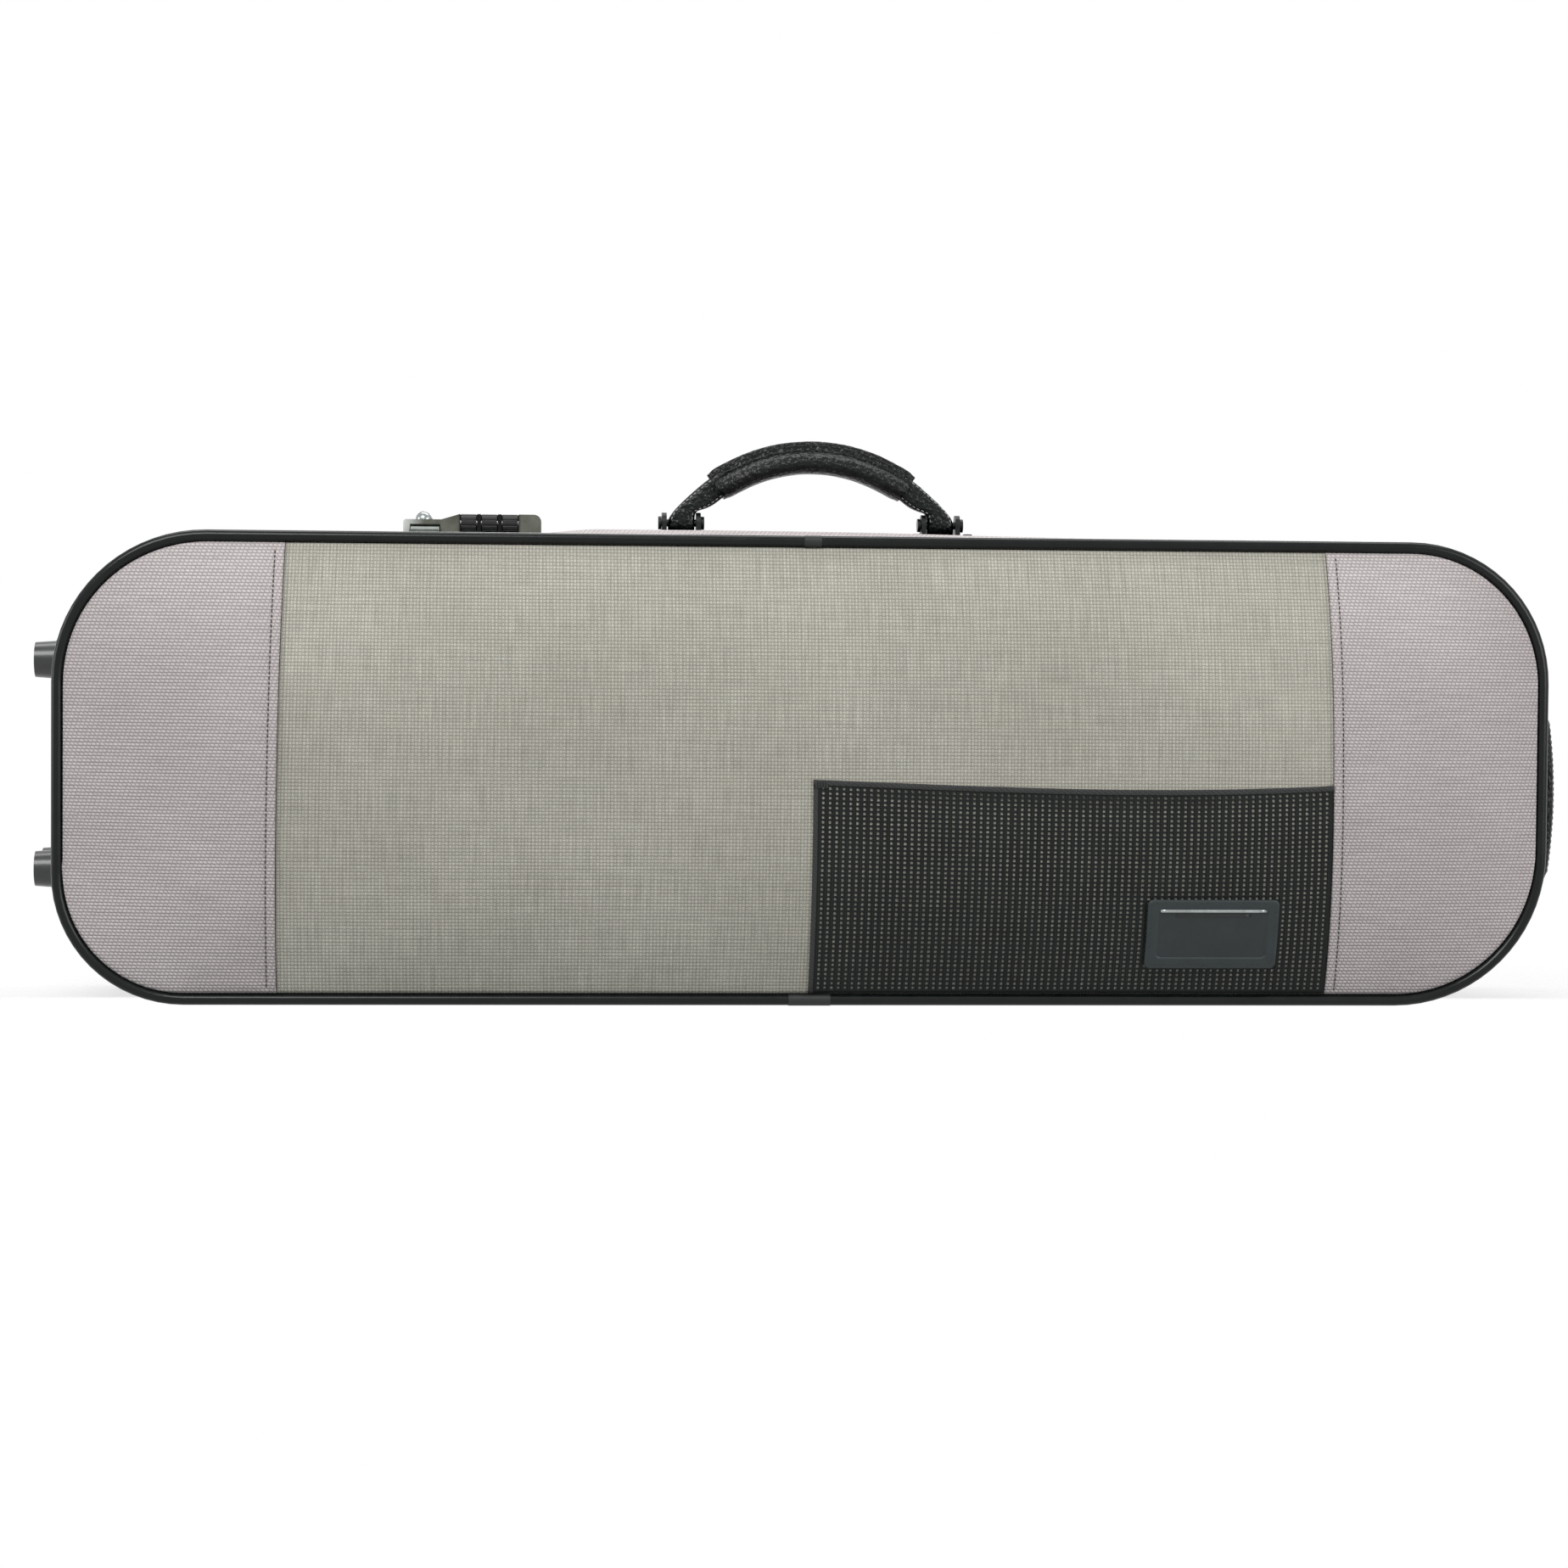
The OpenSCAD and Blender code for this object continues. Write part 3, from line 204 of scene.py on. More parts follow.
RING_X, RING_Y = 290.0, 190.0
LOWER_BOUT, UPPER_BOUT, WAIST_HALF, NECK_HALF = (-270.9, 108.2), (-104.9, 88.2), 60.2, 27.0


RIGHT, BACK, UP = Vector((1, 0, 0)), Vector((0, 1, 0)), Vector((0, 0, 1))


def world(x, y, z):
    """A point of the CAD source's lying frame, in metres, in the row frame."""
    return Vector((x * MM, -z * MM, y * MM))


def edges(inset, x):
    """The low and the high edge of an inset outline, at a place along the case."""
    inside = []
    for left, right in ((R_BL, R_BR), (R_TL, R_TR)):
        r, past = (left, left - HALF - x) if x < 0 else (right, x - HALF + right)
        inside.append(r - math.sqrt(max(0.0, (r - inset) ** 2 - max(0.0, past) ** 2)))
    return inside[0], CASE_H - inside[1]


def arch(x, y):
    """Rise of the lid's arch above its edge."""
    low, high = edges(COVER_INSET, x)
    if high - low < 1e-6:
        return 0.0
    t = min(1.0, max(0.0, (y - low) / (high - low)))
    end = min(1.0, abs(x) / (HALF - COVER_INSET))
    return CROWN * (1 - end ** 6) * (1 - abs(2 * t - 1) ** 2.4)


def arch_normal(x, y):
    dx = (arch(x + 1, y) - arch(x - 1, y)) / 2
    dy = (arch(x, y + 1) - arch(x, y - 1)) / 2
    return Vector((-dx, -1.0, -dy)).normalized()


def ripple(x, y, z, size, seed=0.0):
    """A smooth deterministic wobble from -1 to 1."""
    return noise.noise(Vector((x / size + seed, y / size - seed, z / size + 2 * seed)))


def smooth(t):
    t = min(1.0, max(0.0, t))
    return t * t * (3 - 2 * t)


def polar(r, degrees):
    a = math.radians(degrees)
    return r * math.cos(a), r * math.sin(a)


def squared(value, power):
    """A sine or cosine flattened, so that its circle becomes a rounded box."""
    return math.copysign(abs(value) ** power, value)


def spaced(start, end, step):
    n = max(1, round(abs(end - start) / step))
    return [start + (end - start) * i / n for i in range(n + 1)]


def dense(path, step):
    """The path with its long pieces divided."""
    out = []
    for (ax, ay), (bx, by) in zip(path, path[1:]):
        n = max(1, round(math.dist((ax, ay), (bx, by)) / step))
        out += [(ax + (bx - ax) * i / n, ay + (by - ay) * i / n) for i in range(n)]
    return out + [path[-1]]


def arc(cx, cy, r, start, end, n):
    return [(cx + c, cy + s) for c, s in (polar(r, start + (end - start) * i / n) for i in range(n + 1))]


def around(n, r=1.0):
    """Places round a circle, n of them."""
    return [polar(r, 360 * j / n) for j in range(n)]


def travelled(points):
    """How far along the path each of its points lies."""
    out = [0.0]
    for a, b in zip(points, points[1:]):
        out.append(out[-1] + math.dist(a, b))
    return out


def linked(name, data):
    obj = bpy.data.objects.new(name, data)
    scene.collection.objects.link(obj)
    return obj


# ---- camera and image points ----

CAMERA_AZ, CAMERA_EL, CAMERA_ROLL = -4.48, 2.0, 0.46
CAMERA_D, CAMERA_LENS = 2.0, 85.19
CAMERA_TARGET = Vector((-0.0095, 0.0, 0.1141))


def add_camera():
    """The camera, turned to its target and rolled a little."""
    azimuth, elevation, roll = [math.radians(a) for a in (CAMERA_AZ, CAMERA_EL, CAMERA_ROLL)]
    flat_back = math.cos(elevation)
    back = Vector((math.sin(azimuth) * flat_back, -math.cos(azimuth) * flat_back, math.sin(elevation)))
    level = (-back).cross(UP).normalized()
    steep = level.cross(-back)
    right = level * math.cos(roll) + steep * math.sin(roll)
    up = steep * math.cos(roll) - level * math.sin(roll)
    data = bpy.data.cameras.new("camera")
    data.lens = CAMERA_LENS
    data.sensor_width = 36.0
    data.sensor_fit = "AUTO"
    data.clip_start, data.clip_end = 0.05, 50.0
    obj = linked("camera", data)
    turn = Matrix((right, up, back)).transposed().to_4x4()
    obj.matrix_world = Matrix.Translation(CAMERA_TARGET + back * CAMERA_D) @ turn
    scene.camera = obj
    return obj


camera = add_camera()

# Places in the photograph's frame, scaled to a long side of 1568: edges in x or y, features in x and y
LONG_SIDE = 1568
POINTS = {
    "left": (33.1, None),
    "right": (1554.4, None),
    "top": (None, 439.5),
    "bottom": (None, 1004.6),
    "seam_left_top": (285.9, 543.0),
    "seam_left_foot": (276.2, 988.5),
    "seam_right_top": (1325.3, 551.5),
    "seam_right_middle": (1333.8, 751.8),
    "seam_right_foot": (1324.0, 994.0),
    "pocket_corner": (812.0, 779.8),
    "pocket_sag": (1188.0, 790.0),
    "pocket_end": (1331.0, 785.7),
    "badge": (1211.0, 933.8),
    "badge_bar": (1211.5, 911.0),
    "grip": (813.0, 469.2),
    "lock_knob": (424.3, 513.0),
    "upper_foot": (38.2, 659.0),
    "lower_foot": (33.1, 870.0),
}


def image_ray(x, y):
    """The direction from the camera through an image point."""
    data = camera.data
    across = x - LONG_SIDE / 2 + data.shift_x * LONG_SIDE
    up = LONG_SIDE / 2 - y + data.shift_y * LONG_SIDE
    ray = Vector((across, up, -LONG_SIDE * data.lens / data.sensor_width))
    return (camera.matrix_world.to_3x3() @ ray).normalized()


def image_place(co):
    """Where a point of the frame shows in the image."""
    data = camera.data
    seen = camera.matrix_world.inverted() @ co
    scale = LONG_SIDE * data.lens / data.sensor_width / -seen.z
    return (seen.x * scale + LONG_SIDE / 2 - data.shift_x * LONG_SIDE,
            LONG_SIDE / 2 + data.shift_y * LONG_SIDE - seen.y * scale)


def placed(name, *carriers):
    """The lying-frame place of an image point on what carries the piece."""
    verts, faces = [], []
    for obj in carriers:
        base = len(verts)
        verts += [obj.matrix_world @ v.co for v in obj.data.vertices]
        faces += [[base + i for i in face.vertices] for face in obj.data.polygons]
    tree = BVHTree.FromPolygons(verts, faces)
    eye = camera.matrix_world.translation
    ray = image_ray(*POINTS[name])
    hit = tree.ray_cast(eye, ray)[0]
    if hit is None:
        reach = min(((co - eye).dot(ray) for co in verts), key=lambda d: tree.find_nearest(eye + ray * d)[3])
        hit = tree.find_nearest(eye + ray * reach)[0]
    return hit.x / MM, hit.z / MM, -hit.y / MM


# ---- materials ----


def add_node(tree, kind, inputs=(), **settings):
    """A node whose inputs are linked to sockets or set to plain values."""
    n = tree.nodes.new("ShaderNode" + kind)
    for key, value in settings.items():
        setattr(n, key, value)
    for key, value in dict(inputs).items():
        value = value.socket if isinstance(value, Value) else value
        if isinstance(value, bpy.types.NodeSocket):
            tree.links.new(value, n.inputs[key])
        else:
            n.inputs[key].default_value = value
    return n


class Value:
    """An output in a material's nodes that takes plain arithmetic."""

    def __init__(self, shader, socket):
        self.shader, self.socket = shader, socket

    def op(self, kind, other=0.0):
        return self.shader.out("Math", {0: self, 1: other}, operation=kind)

    def __add__(self, other):
        return self.op("ADD", other)

    def __mul__(self, other):
        return self.op("MULTIPLY", other)

    def __pow__(self, other):
        return self.op("POWER", other)

    def wave(self, pitch):
        """From 0 to 1 and back once in each pitch."""
        return (self * (2 * math.pi / pitch)).op("SINE") * 0.5 + 0.5

    def hump(self, pitch):
        """From 0 to 1 and back to a sharp valley in each pitch."""
        return (self * (math.pi / pitch)).op("SINE").op("ABSOLUTE")


class Shader:
    """A Principled material and short calls for the nodes that drive it."""

    def __init__(self, name, roughness=0.6, metallic=0.0, **sockets):
        self.mat = bpy.data.materials.new(name)
        self.mat.use_nodes = True
        self.tree = self.mat.node_tree
        self.bsdf = self.tree.nodes["Principled BSDF"]
        for key, value in dict(sockets, Roughness=roughness, Metallic=metallic).items():
            self.bsdf.inputs[key.replace("_", " ")].default_value = value
        self.normal = None

    def out(self, kind, inputs=(), output=0, **settings):
        return Value(self, add_node(self.tree, kind, inputs, **settings).outputs[output])

    def place(self, uv=False, scale=(1, 1, 1)):
        source = self.out("TexCoord", output="UV" if uv else "Object")
        return self.out("Mapping", {"Vector": source, "Scale": scale})

    def split(self, vector):
        n = add_node(self.tree, "SeparateXYZ", {0: vector})
        return [Value(self, socket) for socket in n.outputs]

    def noise(self, at, scale, detail=3.0, rough=0.55):
        return self.out("TexNoise", {"Vector": at, "Scale": scale, "Detail": detail, "Roughness": rough})

    def cells(self, at, scale, feature="F1"):
        return self.out("TexVoronoi", {"Vector": at, "Scale": scale}, "Distance", feature=feature)

    def between(self, value, start, end):
        """From 0 at the start to 1 at the end, and no further."""
        return self.out("MapRange", {0: value, 1: start, 2: end})

    def grey(self, value, low, high):
        return self.out("MapRange", {0: value, 3: low, 4: high})

    def ramp(self, value, *stops):
        n = add_node(self.tree, "ValToRGB", {0: value})
        while len(n.color_ramp.elements) < len(stops):
            n.color_ramp.elements.new(0.5)
        for element, (position, colour) in zip(n.color_ramp.elements, stops):
            element.position = position
            element.color = rgba(colour)
        return Value(self, n.outputs[0])

    def tint(self, colour, *layers):
        """The colour multiplied by each layer's value, spread from its low to its high."""
        for value, low, high in layers:
            inputs = {0: 1.0, 6: colour, 7: self.grey(value, low, high)}
            colour = self.out("Mix", inputs, 2, data_type="RGBA", blend_type="MULTIPLY")
        return colour

    def blend(self, value, a, b):
        return self.out("Mix", {0: value, 6: a, 7: b}, 2, data_type="RGBA")

    def bump(self, height, distance, strength=1.0):
        """A bump of a height in millimetres, over the ones before."""
        inputs = {"Height": height, "Distance": distance * MM, "Strength": strength}
        if self.normal is not None:
            inputs["Normal"] = self.normal
        self.normal = self.out("Bump", inputs)

    def finish(self, colour, roughness=None):
        for key, value in (("Base Color", colour), ("Roughness", roughness), ("Normal", self.normal)):
            if value is not None:
                self.tree.links.new(value.socket, self.bsdf.inputs[key])
        return self.mat


def rgba(text):
    """Linear colour of an sRGB hex colour."""
    parts = [int(text[i:i + 2], 16) / 255 for i in (1, 3, 5)]
    return (*[p / 12.92 if p <= 0.04045 else ((p + 0.055) / 1.055) ** 2.4 for p in parts], 1.0)


def khaki_weave(pitch=1.76 * MM):
    """Plain weave of uneven warp and weft threads."""
    s = Shader("khaki_weave", 0.72, Sheen_Weight=0.12, Sheen_Roughness=0.5)
    uv = s.place(True)
    x, y, _ = s.split(uv)
    warp, weft = x.hump(pitch), y.hump(pitch)
    over = (x * (math.pi / pitch)).op("SINE") * (y * (math.pi / pitch)).op("SINE") * 4.0 + 0.5
    thread = s.out("Mix", {0: s.out("Clamp", {0: over}), 2: weft * 0.82, 3: warp})
    height = thread * (warp * weft) ** 0.35
    slub_x = s.noise(s.place(True, (760, 42, 1)), 1.0, 3.0, 0.65)
    slub_y = s.noise(s.place(True, (36, 700, 1)), 1.0, 3.0, 0.65)
    base = s.ramp(s.noise(uv, 9.0, 4.0), (0.3, "#b0ada0"), (0.52, "#b8b5a8"), (0.75, "#c1beb1"))
    # Darker in the hollows between the threads and lighter on their tops: painted shade and painted highlight; the
    # slubs are the yarn's own tone.
    colour = s.tint(base, (height, 0.58, 1.14), (slub_x, 0.62, 1.34), (slub_y, 0.72, 1.25))
    s.bump(height, 0.35, 0.8)
    s.bump(s.noise(uv, 60.0, 2.0), 0.5, 0.12)
    return s.finish(colour, s.grey(height, 0.85, 0.6))


def mauve_weave(row=1.72 * MM, float_l=2.3 * MM):
    """Ribbed cloth: short raised floats in staggered rows along the case."""
    s = Shader("mauve_weave", 0.7, Sheen_Weight=0.15, Sheen_Roughness=0.45)
    uv = s.place(True)
    x, y, _ = s.split(uv)
    wander = s.noise(uv, 260.0, 2.0) * (0.9 * MM) + -0.45 * MM
    x, y = x + wander, wander * 0.35 + y
    odd = y.op("DIVIDE", row).op("FLOOR").op("PINGPONG", 1.0)
    shifted = odd * (float_l / 2) + (y * 0.35 + x)
    up = shifted.hump(float_l) ** 0.6 * y.hump(row) ** 0.75
    strand = (y + x * 0.22).wave(row / 3)
    slub = s.noise(s.place(True, (40, 640, 1)), 1.0, 3.0, 0.6)
    fleck = s.noise(s.place(True, (420, 620, 1)), 1.0, 2.0)
    base = s.ramp(s.noise(uv, 7.0, 4.0), (0.3, "#b8aeae"), (0.5, "#bfb6b5"), (0.72, "#c7bfbe"))
    # Darker in the hollows round the floats and lighter on their tops: painted shade and painted highlight; strands,
    # slubs and flecks are the yarn's own tone.
    colour = s.tint(base, (up, 0.6, 1.17), (strand, 0.95, 1.05), (slub, 0.76, 1.22), (fleck, 0.82, 1.18))
    s.bump(up, 0.45, 0.85)
    s.bump(s.noise(uv, 50.0, 2.0), 0.5, 0.12)
    return s.finish(colour, s.grey(up, 0.85, 0.6))


def vinyl(name, low, high, roughness, grain, shine=0.35):
    """Soft black vinyl: fine grain, faint scuffs, a satin gloss."""
    s = Shader(name, roughness, Coat_Weight=0.15, Coat_Roughness=0.15, Specular_IOR_Level=shine)
    at = s.place()
    scuff = s.noise(at, 90.0, 5.0, 0.65)
    s.bump(s.cells(at, 1500.0), 0.25, grain)
    s.bump(s.noise(at, 220.0, 2.0), 0.4, 0.15)
    colour = s.ramp(scuff, (0.35, low), (0.8, high))
    return s.finish(colour, s.grey(scuff, roughness - 0.08, roughness + 0.16))


def rubber():
    """Moulded rubber of the feet and the wear strips, with shallow scuffs."""
    s = Shader("rubber", 0.3, Coat_Weight=0.35, Coat_Roughness=0.16, Specular_IOR_Level=0.5)
    at = s.place()
    scuff = s.noise(at, 140.0, 6.0, 0.7)
    s.bump(s.noise(at, 2600.0, 2.0), 0.15, 0.35)
    s.bump(s.noise(at, 240.0, 3.0), 0.3, 0.15)
    return s.finish(s.ramp(scuff, (0.3, "#0f1211"), (0.75, "#212524")), s.grey(scuff, 0.24, 0.42))


def leather():
    """Pebbled black leather: lighter on each pebble's top, a painted highlight, darker in the grooves, painted shade,
    over tone that varies at random.
    """
    s = Shader("leather", 0.4, Coat_Weight=0.03, Coat_Roughness=0.22, Specular_IOR_Level=0.2)
    at = s.place()
    pebble = s.cells(at, 520.0, "SMOOTH_F1")
    # Lighter on the pebbles' tops and darker in their grooves: painted highlight and painted shade, plus tone that
    # varies at random.
    pebble_shine_and_tone = pebble * -0.5 + s.noise(at, 60.0, 4.0, 0.6)
    s.bump(pebble * -1.0, 0.8, 1.0)
    s.bump(s.noise(at, 1500.0, 3.0), 0.12, 0.35)
    return s.finish(s.ramp(pebble_shine_and_tone, (0.12, "#010202"), (0.5, "#121717")), s.grey(pebble, 0.2, 0.38))


def webbing(name, low, high, pitch=1.6):
    """Woven band: ribs across it and a finer twill along them."""
    s = Shader(name, 0.62, Sheen_Weight=0.15, Sheen_Roughness=0.4)
    x, y, _ = s.split(s.place(True))
    up = (x * 0.6 + y).wave(1.9 * MM) * 0.45 + x.wave(pitch * MM) * 0.55
    worn = s.ramp(s.noise(s.place(), 70.0, 4.0), (0.3, low), (0.7, high))
    s.bump(up, 0.4, 0.7)
    # Lighter on the ribs' tops and darker in the hollows between: painted highlight and painted shade.
    return s.finish(s.tint(worn, (up, 0.6, 1.2)), s.grey(up, 0.75, 0.5))


def velour():
    """Dense short pile: brushed a little unevenly, with a soft rim of light."""
    s = Shader("velour", 0.9, Sheen_Weight=0.5, Sheen_Roughness=0.3, Specular_IOR_Level=0.15,
               Sheen_Tint=(0.55, 0.62, 0.7, 1))
    at = s.place()
    brush = s.noise(s.place(scale=(60, 90, 150)), 1.0, 6.0, 0.7)
    tuft, pile = s.cells(at, 900.0), s.noise(at, 2400.0, 2.0)
    base = s.ramp(brush, (0.38, "#1e242b"), (0.64, "#333b44"))
    s.bump(pile, 0.3, 0.6)
    s.bump(tuft, 0.4, 0.35)
    # Lighter on the high pile and tufts and darker in their dips: painted highlight and painted shade.
    return s.finish(s.tint(base, (pile, 0.7, 1.3), (tuft, 0.8, 1.15)), s.grey(brush, 0.95, 0.8))


def metal(name, colour, dark, roughness, brush=(1, 1, 1), metallic=1.0):
    """Brushed or cast metal with faint smudges."""
    s = Shader(name, roughness, metallic)
    smudge = s.noise(s.place(), 120.0, 4.0, 0.6)
    s.bump(s.noise(s.place(scale=brush), 700.0, 3.0), 0.05, 0.25)
    shade = s.ramp(smudge, (0.3, dark), (0.7, colour))
    return s.finish(shade, s.grey(smudge, max(0.04, roughness - 0.08), roughness + 0.12))


def lock_paint():
    """Gunmetal of the lock: a pale cast end, and black painted round the dials as the shade in their bay."""
    s = Shader("lock_paint", 0.36, 0.75)
    at = s.place()
    x, y, _ = s.split(at)
    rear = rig.box("lock_housing")[1][1]
    # Painted shade: the housing is black round the dials, where their bay lies in shade, except at its back.
    painted_bay_shade = s.between((x + 0.1685).op("ABSOLUTE"), 0.0168, 0.0152) * s.between(y, rear - 0.003, rear - 0.004)
    speck, smudge = s.noise(at, 1800.0, 2.0), s.noise(at, 90.0, 4.0, 0.6)
    body = s.blend(painted_bay_shade, s.ramp(smudge, (0.3, "#4c4e47"), (0.7, "#686b61")), rgba("#0d0f0f"))
    colour = s.blend(s.between(x, -0.2145, -0.203), rgba("#c9cdc8"), body)
    s.bump(speck, 0.06, 0.3)
    return s.finish(s.tint(colour, (speck, 0.94, 1.06)), s.grey(smudge, 0.3, 0.5))


def net_yarn():
    """Black knitted yarn: vertical wales with small loops."""
    s = Shader("net_yarn", 0.65, Specular_IOR_Level=0.2)
    x, y, _ = s.split(s.place(True))
    wale = x.wave(1.19 * MM)
    up = (y + wale * (0.3 * MM)).wave(0.86 * MM) * 0.4 + wale * 0.6
    base = s.ramp(s.noise(s.place(), 40.0, 3.0), (0.3, "#0d1110"), (0.7, "#161b19"))
    s.bump(up, 0.3, 0.8)
    # Lighter on the loops' tops and darker in the hollows between: painted highlight and painted shade.
    return s.finish(s.tint(base, (up, 0.4, 1.4)), s.grey(up, 0.75, 0.5))


def board():
    """Pressed foam board of the shell, seen only at its cut edges."""
    s = Shader("board", 0.9)
    fibre = s.noise(s.place(), 900.0, 3.0)
    s.bump(fibre, 0.2, 0.4)
    return s.finish(s.ramp(fibre, (0.3, "#30353a"), (0.7, "#474d54")))


KHAKI, MAUVE = khaki_weave(), mauve_weave()
PIPING = vinyl("piping_vinyl", "#070a0a", "#111616", 0.2, 0.04, 0.16)
TRIM = vinyl("trim_vinyl", "#101212", "#1d2020", 0.4, 0.25)
RUBBER, LEATHER, VELOUR, BOARD, NET, LOCK = rubber(), leather(), velour(), board(), net_yarn(), lock_paint()
WEBBING = webbing("webbing", "#0c0e0e", "#1a1d1e")
GROSGRAIN = webbing("grosgrain", "#080a09", "#121514", 1.0)
RIBBON = webbing("ribbon", "#262c33", "#39424b", 0.8)
STEEL = metal("steel", "#c4c8c6", "#9ea3a2", 0.3, (60, 1, 60))
PLATE = metal("zinc_plate", "#b9bdb9", "#9fa4a1", 0.38)
CHROME = metal("chrome", "#a4a9a8", "#858a89", 0.24)
HASP = metal("hasp_steel", "#6d716d", "#545855", 0.4)
BLACK_METAL = metal("black_metal", "#191c1c", "#0c0e0e", 0.32, metallic=0.5)
BLACK_PLASTIC = vinyl("black_plastic", "#070808", "#121414", 0.3, 0.05)
RING_METAL = metal("ring_metal", "#868c8c", "#5f6565", 0.28)
THREAD_DARK = webbing("thread_dark", "#2b2729", "#3a3537", 0.5)
THREAD_LIGHT = webbing("thread_light", "#8d918c", "#a6aaa4", 0.5)
THREAD_BLACK = webbing("thread_black", "#101212", "#1e2121", 0.5)
BADGE_RUBBER = vinyl("badge_rubber", "#1a2223", "#283234", 0.5, 0.35)
BADGE_FIELD = vinyl("badge_field", "#161d1d", "#202828", 0.42, 0.3)


# ---- meshes ----


def grid_faces(rows, columns, wrap=False):
    """Quads of a grid whose index is row * columns + column."""
    out = []
    for i in range(rows - 1):
        for j in range(columns if wrap else columns - 1):
            k = (j + 1) % columns
            out.append((i * columns + j, i * columns + k, (i + 1) * columns + k, (i + 1) * columns + j))
    return out


def tube_faces(rows, n):
    """Faces of a tube of rings of n points, with both its ends closed."""
    return grid_faces(rows, n, wrap=True) + [tuple(range(n)), tuple(rows * n - 1 - j for j in range(n))]


class Form:
    """Vertices in metres, and where each lies on its cloth in millimetres, before they are a piece."""

    def __init__(self):
        self.verts, self.uvs = [], []

    def add(self, co, u, v=0.0):
        self.verts.append(co)
        self.uvs.append((u * MM, v * MM))

    def build(self, name, faces, material, body, slot, stands=True, out=True):
        """The piece on its body; it may stand for its slot's node, and have its faces turned outwards."""
        mesh = bpy.data.meshes.new(name)
        mesh.from_pydata([tuple(v) for v in self.verts], [], faces)
        mesh.validate()
        layer = mesh.uv_layers.new(name="weave")
        index = np.empty(len(mesh.loops), int)
        mesh.loops.foreach_get("vertex_index", index)
        layer.data.foreach_set("uv", np.asarray(self.uvs, np.float32)[index].ravel())
        mesh.shade_smooth()
        mesh.materials.append(material)
        if out:
            bm = bmesh.new()
            bm.from_mesh(mesh)
            bmesh.ops.recalc_face_normals(bm, faces=bm.faces)
            bm.to_mesh(mesh)
            bm.free()
        obj = linked(name, mesh)
        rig.ride(obj, body)
        if stands:
            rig.replaces(obj, slot)
        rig.slot(obj, slot)
        return obj


def modify(obj, kind, **settings):
    m = obj.modifiers.new(kind.lower(), kind)
    for key, value in settings.items():
        setattr(m, key, value)
    return m


def apply_all(obj):
    """Bakes the piece's modifiers into its mesh."""
    bpy.context.view_layer.update()
    graph = bpy.context.evaluated_depsgraph_get()
    mesh = bpy.data.meshes.new_from_object(obj.evaluated_get(graph))
    obj.modifiers.clear()
    obj.data = mesh
    return obj


def solid(obj, thickness, offset=-1.0):
    modify(obj, "SOLIDIFY", thickness=thickness * MM, offset=offset)
    return apply_all(obj)


CORNERS = ((HALF - R_TR, CASE_H - R_TR, R_TR), (R_TL - HALF, CASE_H - R_TL, R_TL),
           (R_BL - HALF, R_BL, R_BL), (HALF - R_BR, R_BR, R_BR))


def outline_ring(inset, step=5.0, steps=28):
    """Points (x, y, nx, ny, s) round the case's outline at an inset, the same number at every inset."""
    out, s = [], 0.0
    for k, (cx, cy, r) in enumerate(CORNERS):
        for i in range(steps):
            nx, ny = polar(1, 90 * (k + i / steps))
            turned = r * math.pi / 2 * i / steps
            out.append((cx + (r - inset) * nx, cy + (r - inset) * ny, nx, ny, s + turned))
        s += r * math.pi / 2
        nx, ny = ((0, 1), (-1, 0), (0, -1), (1, 0))[k]
        end_x, end_y, end_r = CORNERS[(k + 1) % 4]
        a = (cx + (r - inset) * nx, cy + (r - inset) * ny)
        b = (end_x + (end_r - inset) * nx, end_y + (end_r - inset) * ny)
        line = dense([a, b], step)[:-1]
        out += [(x, y, nx, ny, s + math.dist(a, (x, y))) for x, y in line]
        s += math.dist(a, b)
    return out


def swept(name, profile, shape, material, body, slot, cap=False, closed=False, **build):
    """Sweeps (inset, level) points round the outline; shape(x, y, z, nx, ny, k) may move each point."""
    form, runs = Form(), travelled(profile)
    for k, (inset, level) in enumerate(profile):
        ring = outline_ring(inset)
        for x, y, nx, ny, s in ring:
            form.add(world(*shape(x, y, level, nx, ny, k)), s, runs[k])
    n, last = len(ring), (len(profile) - 1) * len(ring)
    faces = grid_faces(len(profile), n, wrap=True)
    if closed:
        faces += [(last + j, last + (j + 1) % n, (j + 1) % n, j) for j in range(n)]
    if cap:
        faces.append(tuple(range(last, last + n)))
    obj = form.build(name, faces, material, body, slot, **build)
    layer = obj.data.uv_layers[0].data
    for face in obj.data.polygons:
        across = [layer[i].uv.x for i in face.loop_indices]
        if len(across) == 4 and max(across) - min(across) > GIRTH * MM / 2:
            for i in face.loop_indices:
                layer[i].uv.x += GIRTH * MM if layer[i].uv.x < GIRTH * MM / 2 else 0.0
    return obj


STITCH = ((0.0, 0.35), (0.14, 0.85), (0.35, 1.0), (0.65, 1.0), (0.86, 0.85), (1.0, 0.35))
STITCH_FACES = grid_faces(len(STITCH), 6, wrap=True) + [(5, 4, 3, 2, 1, 0), tuple(range(30, 36))]


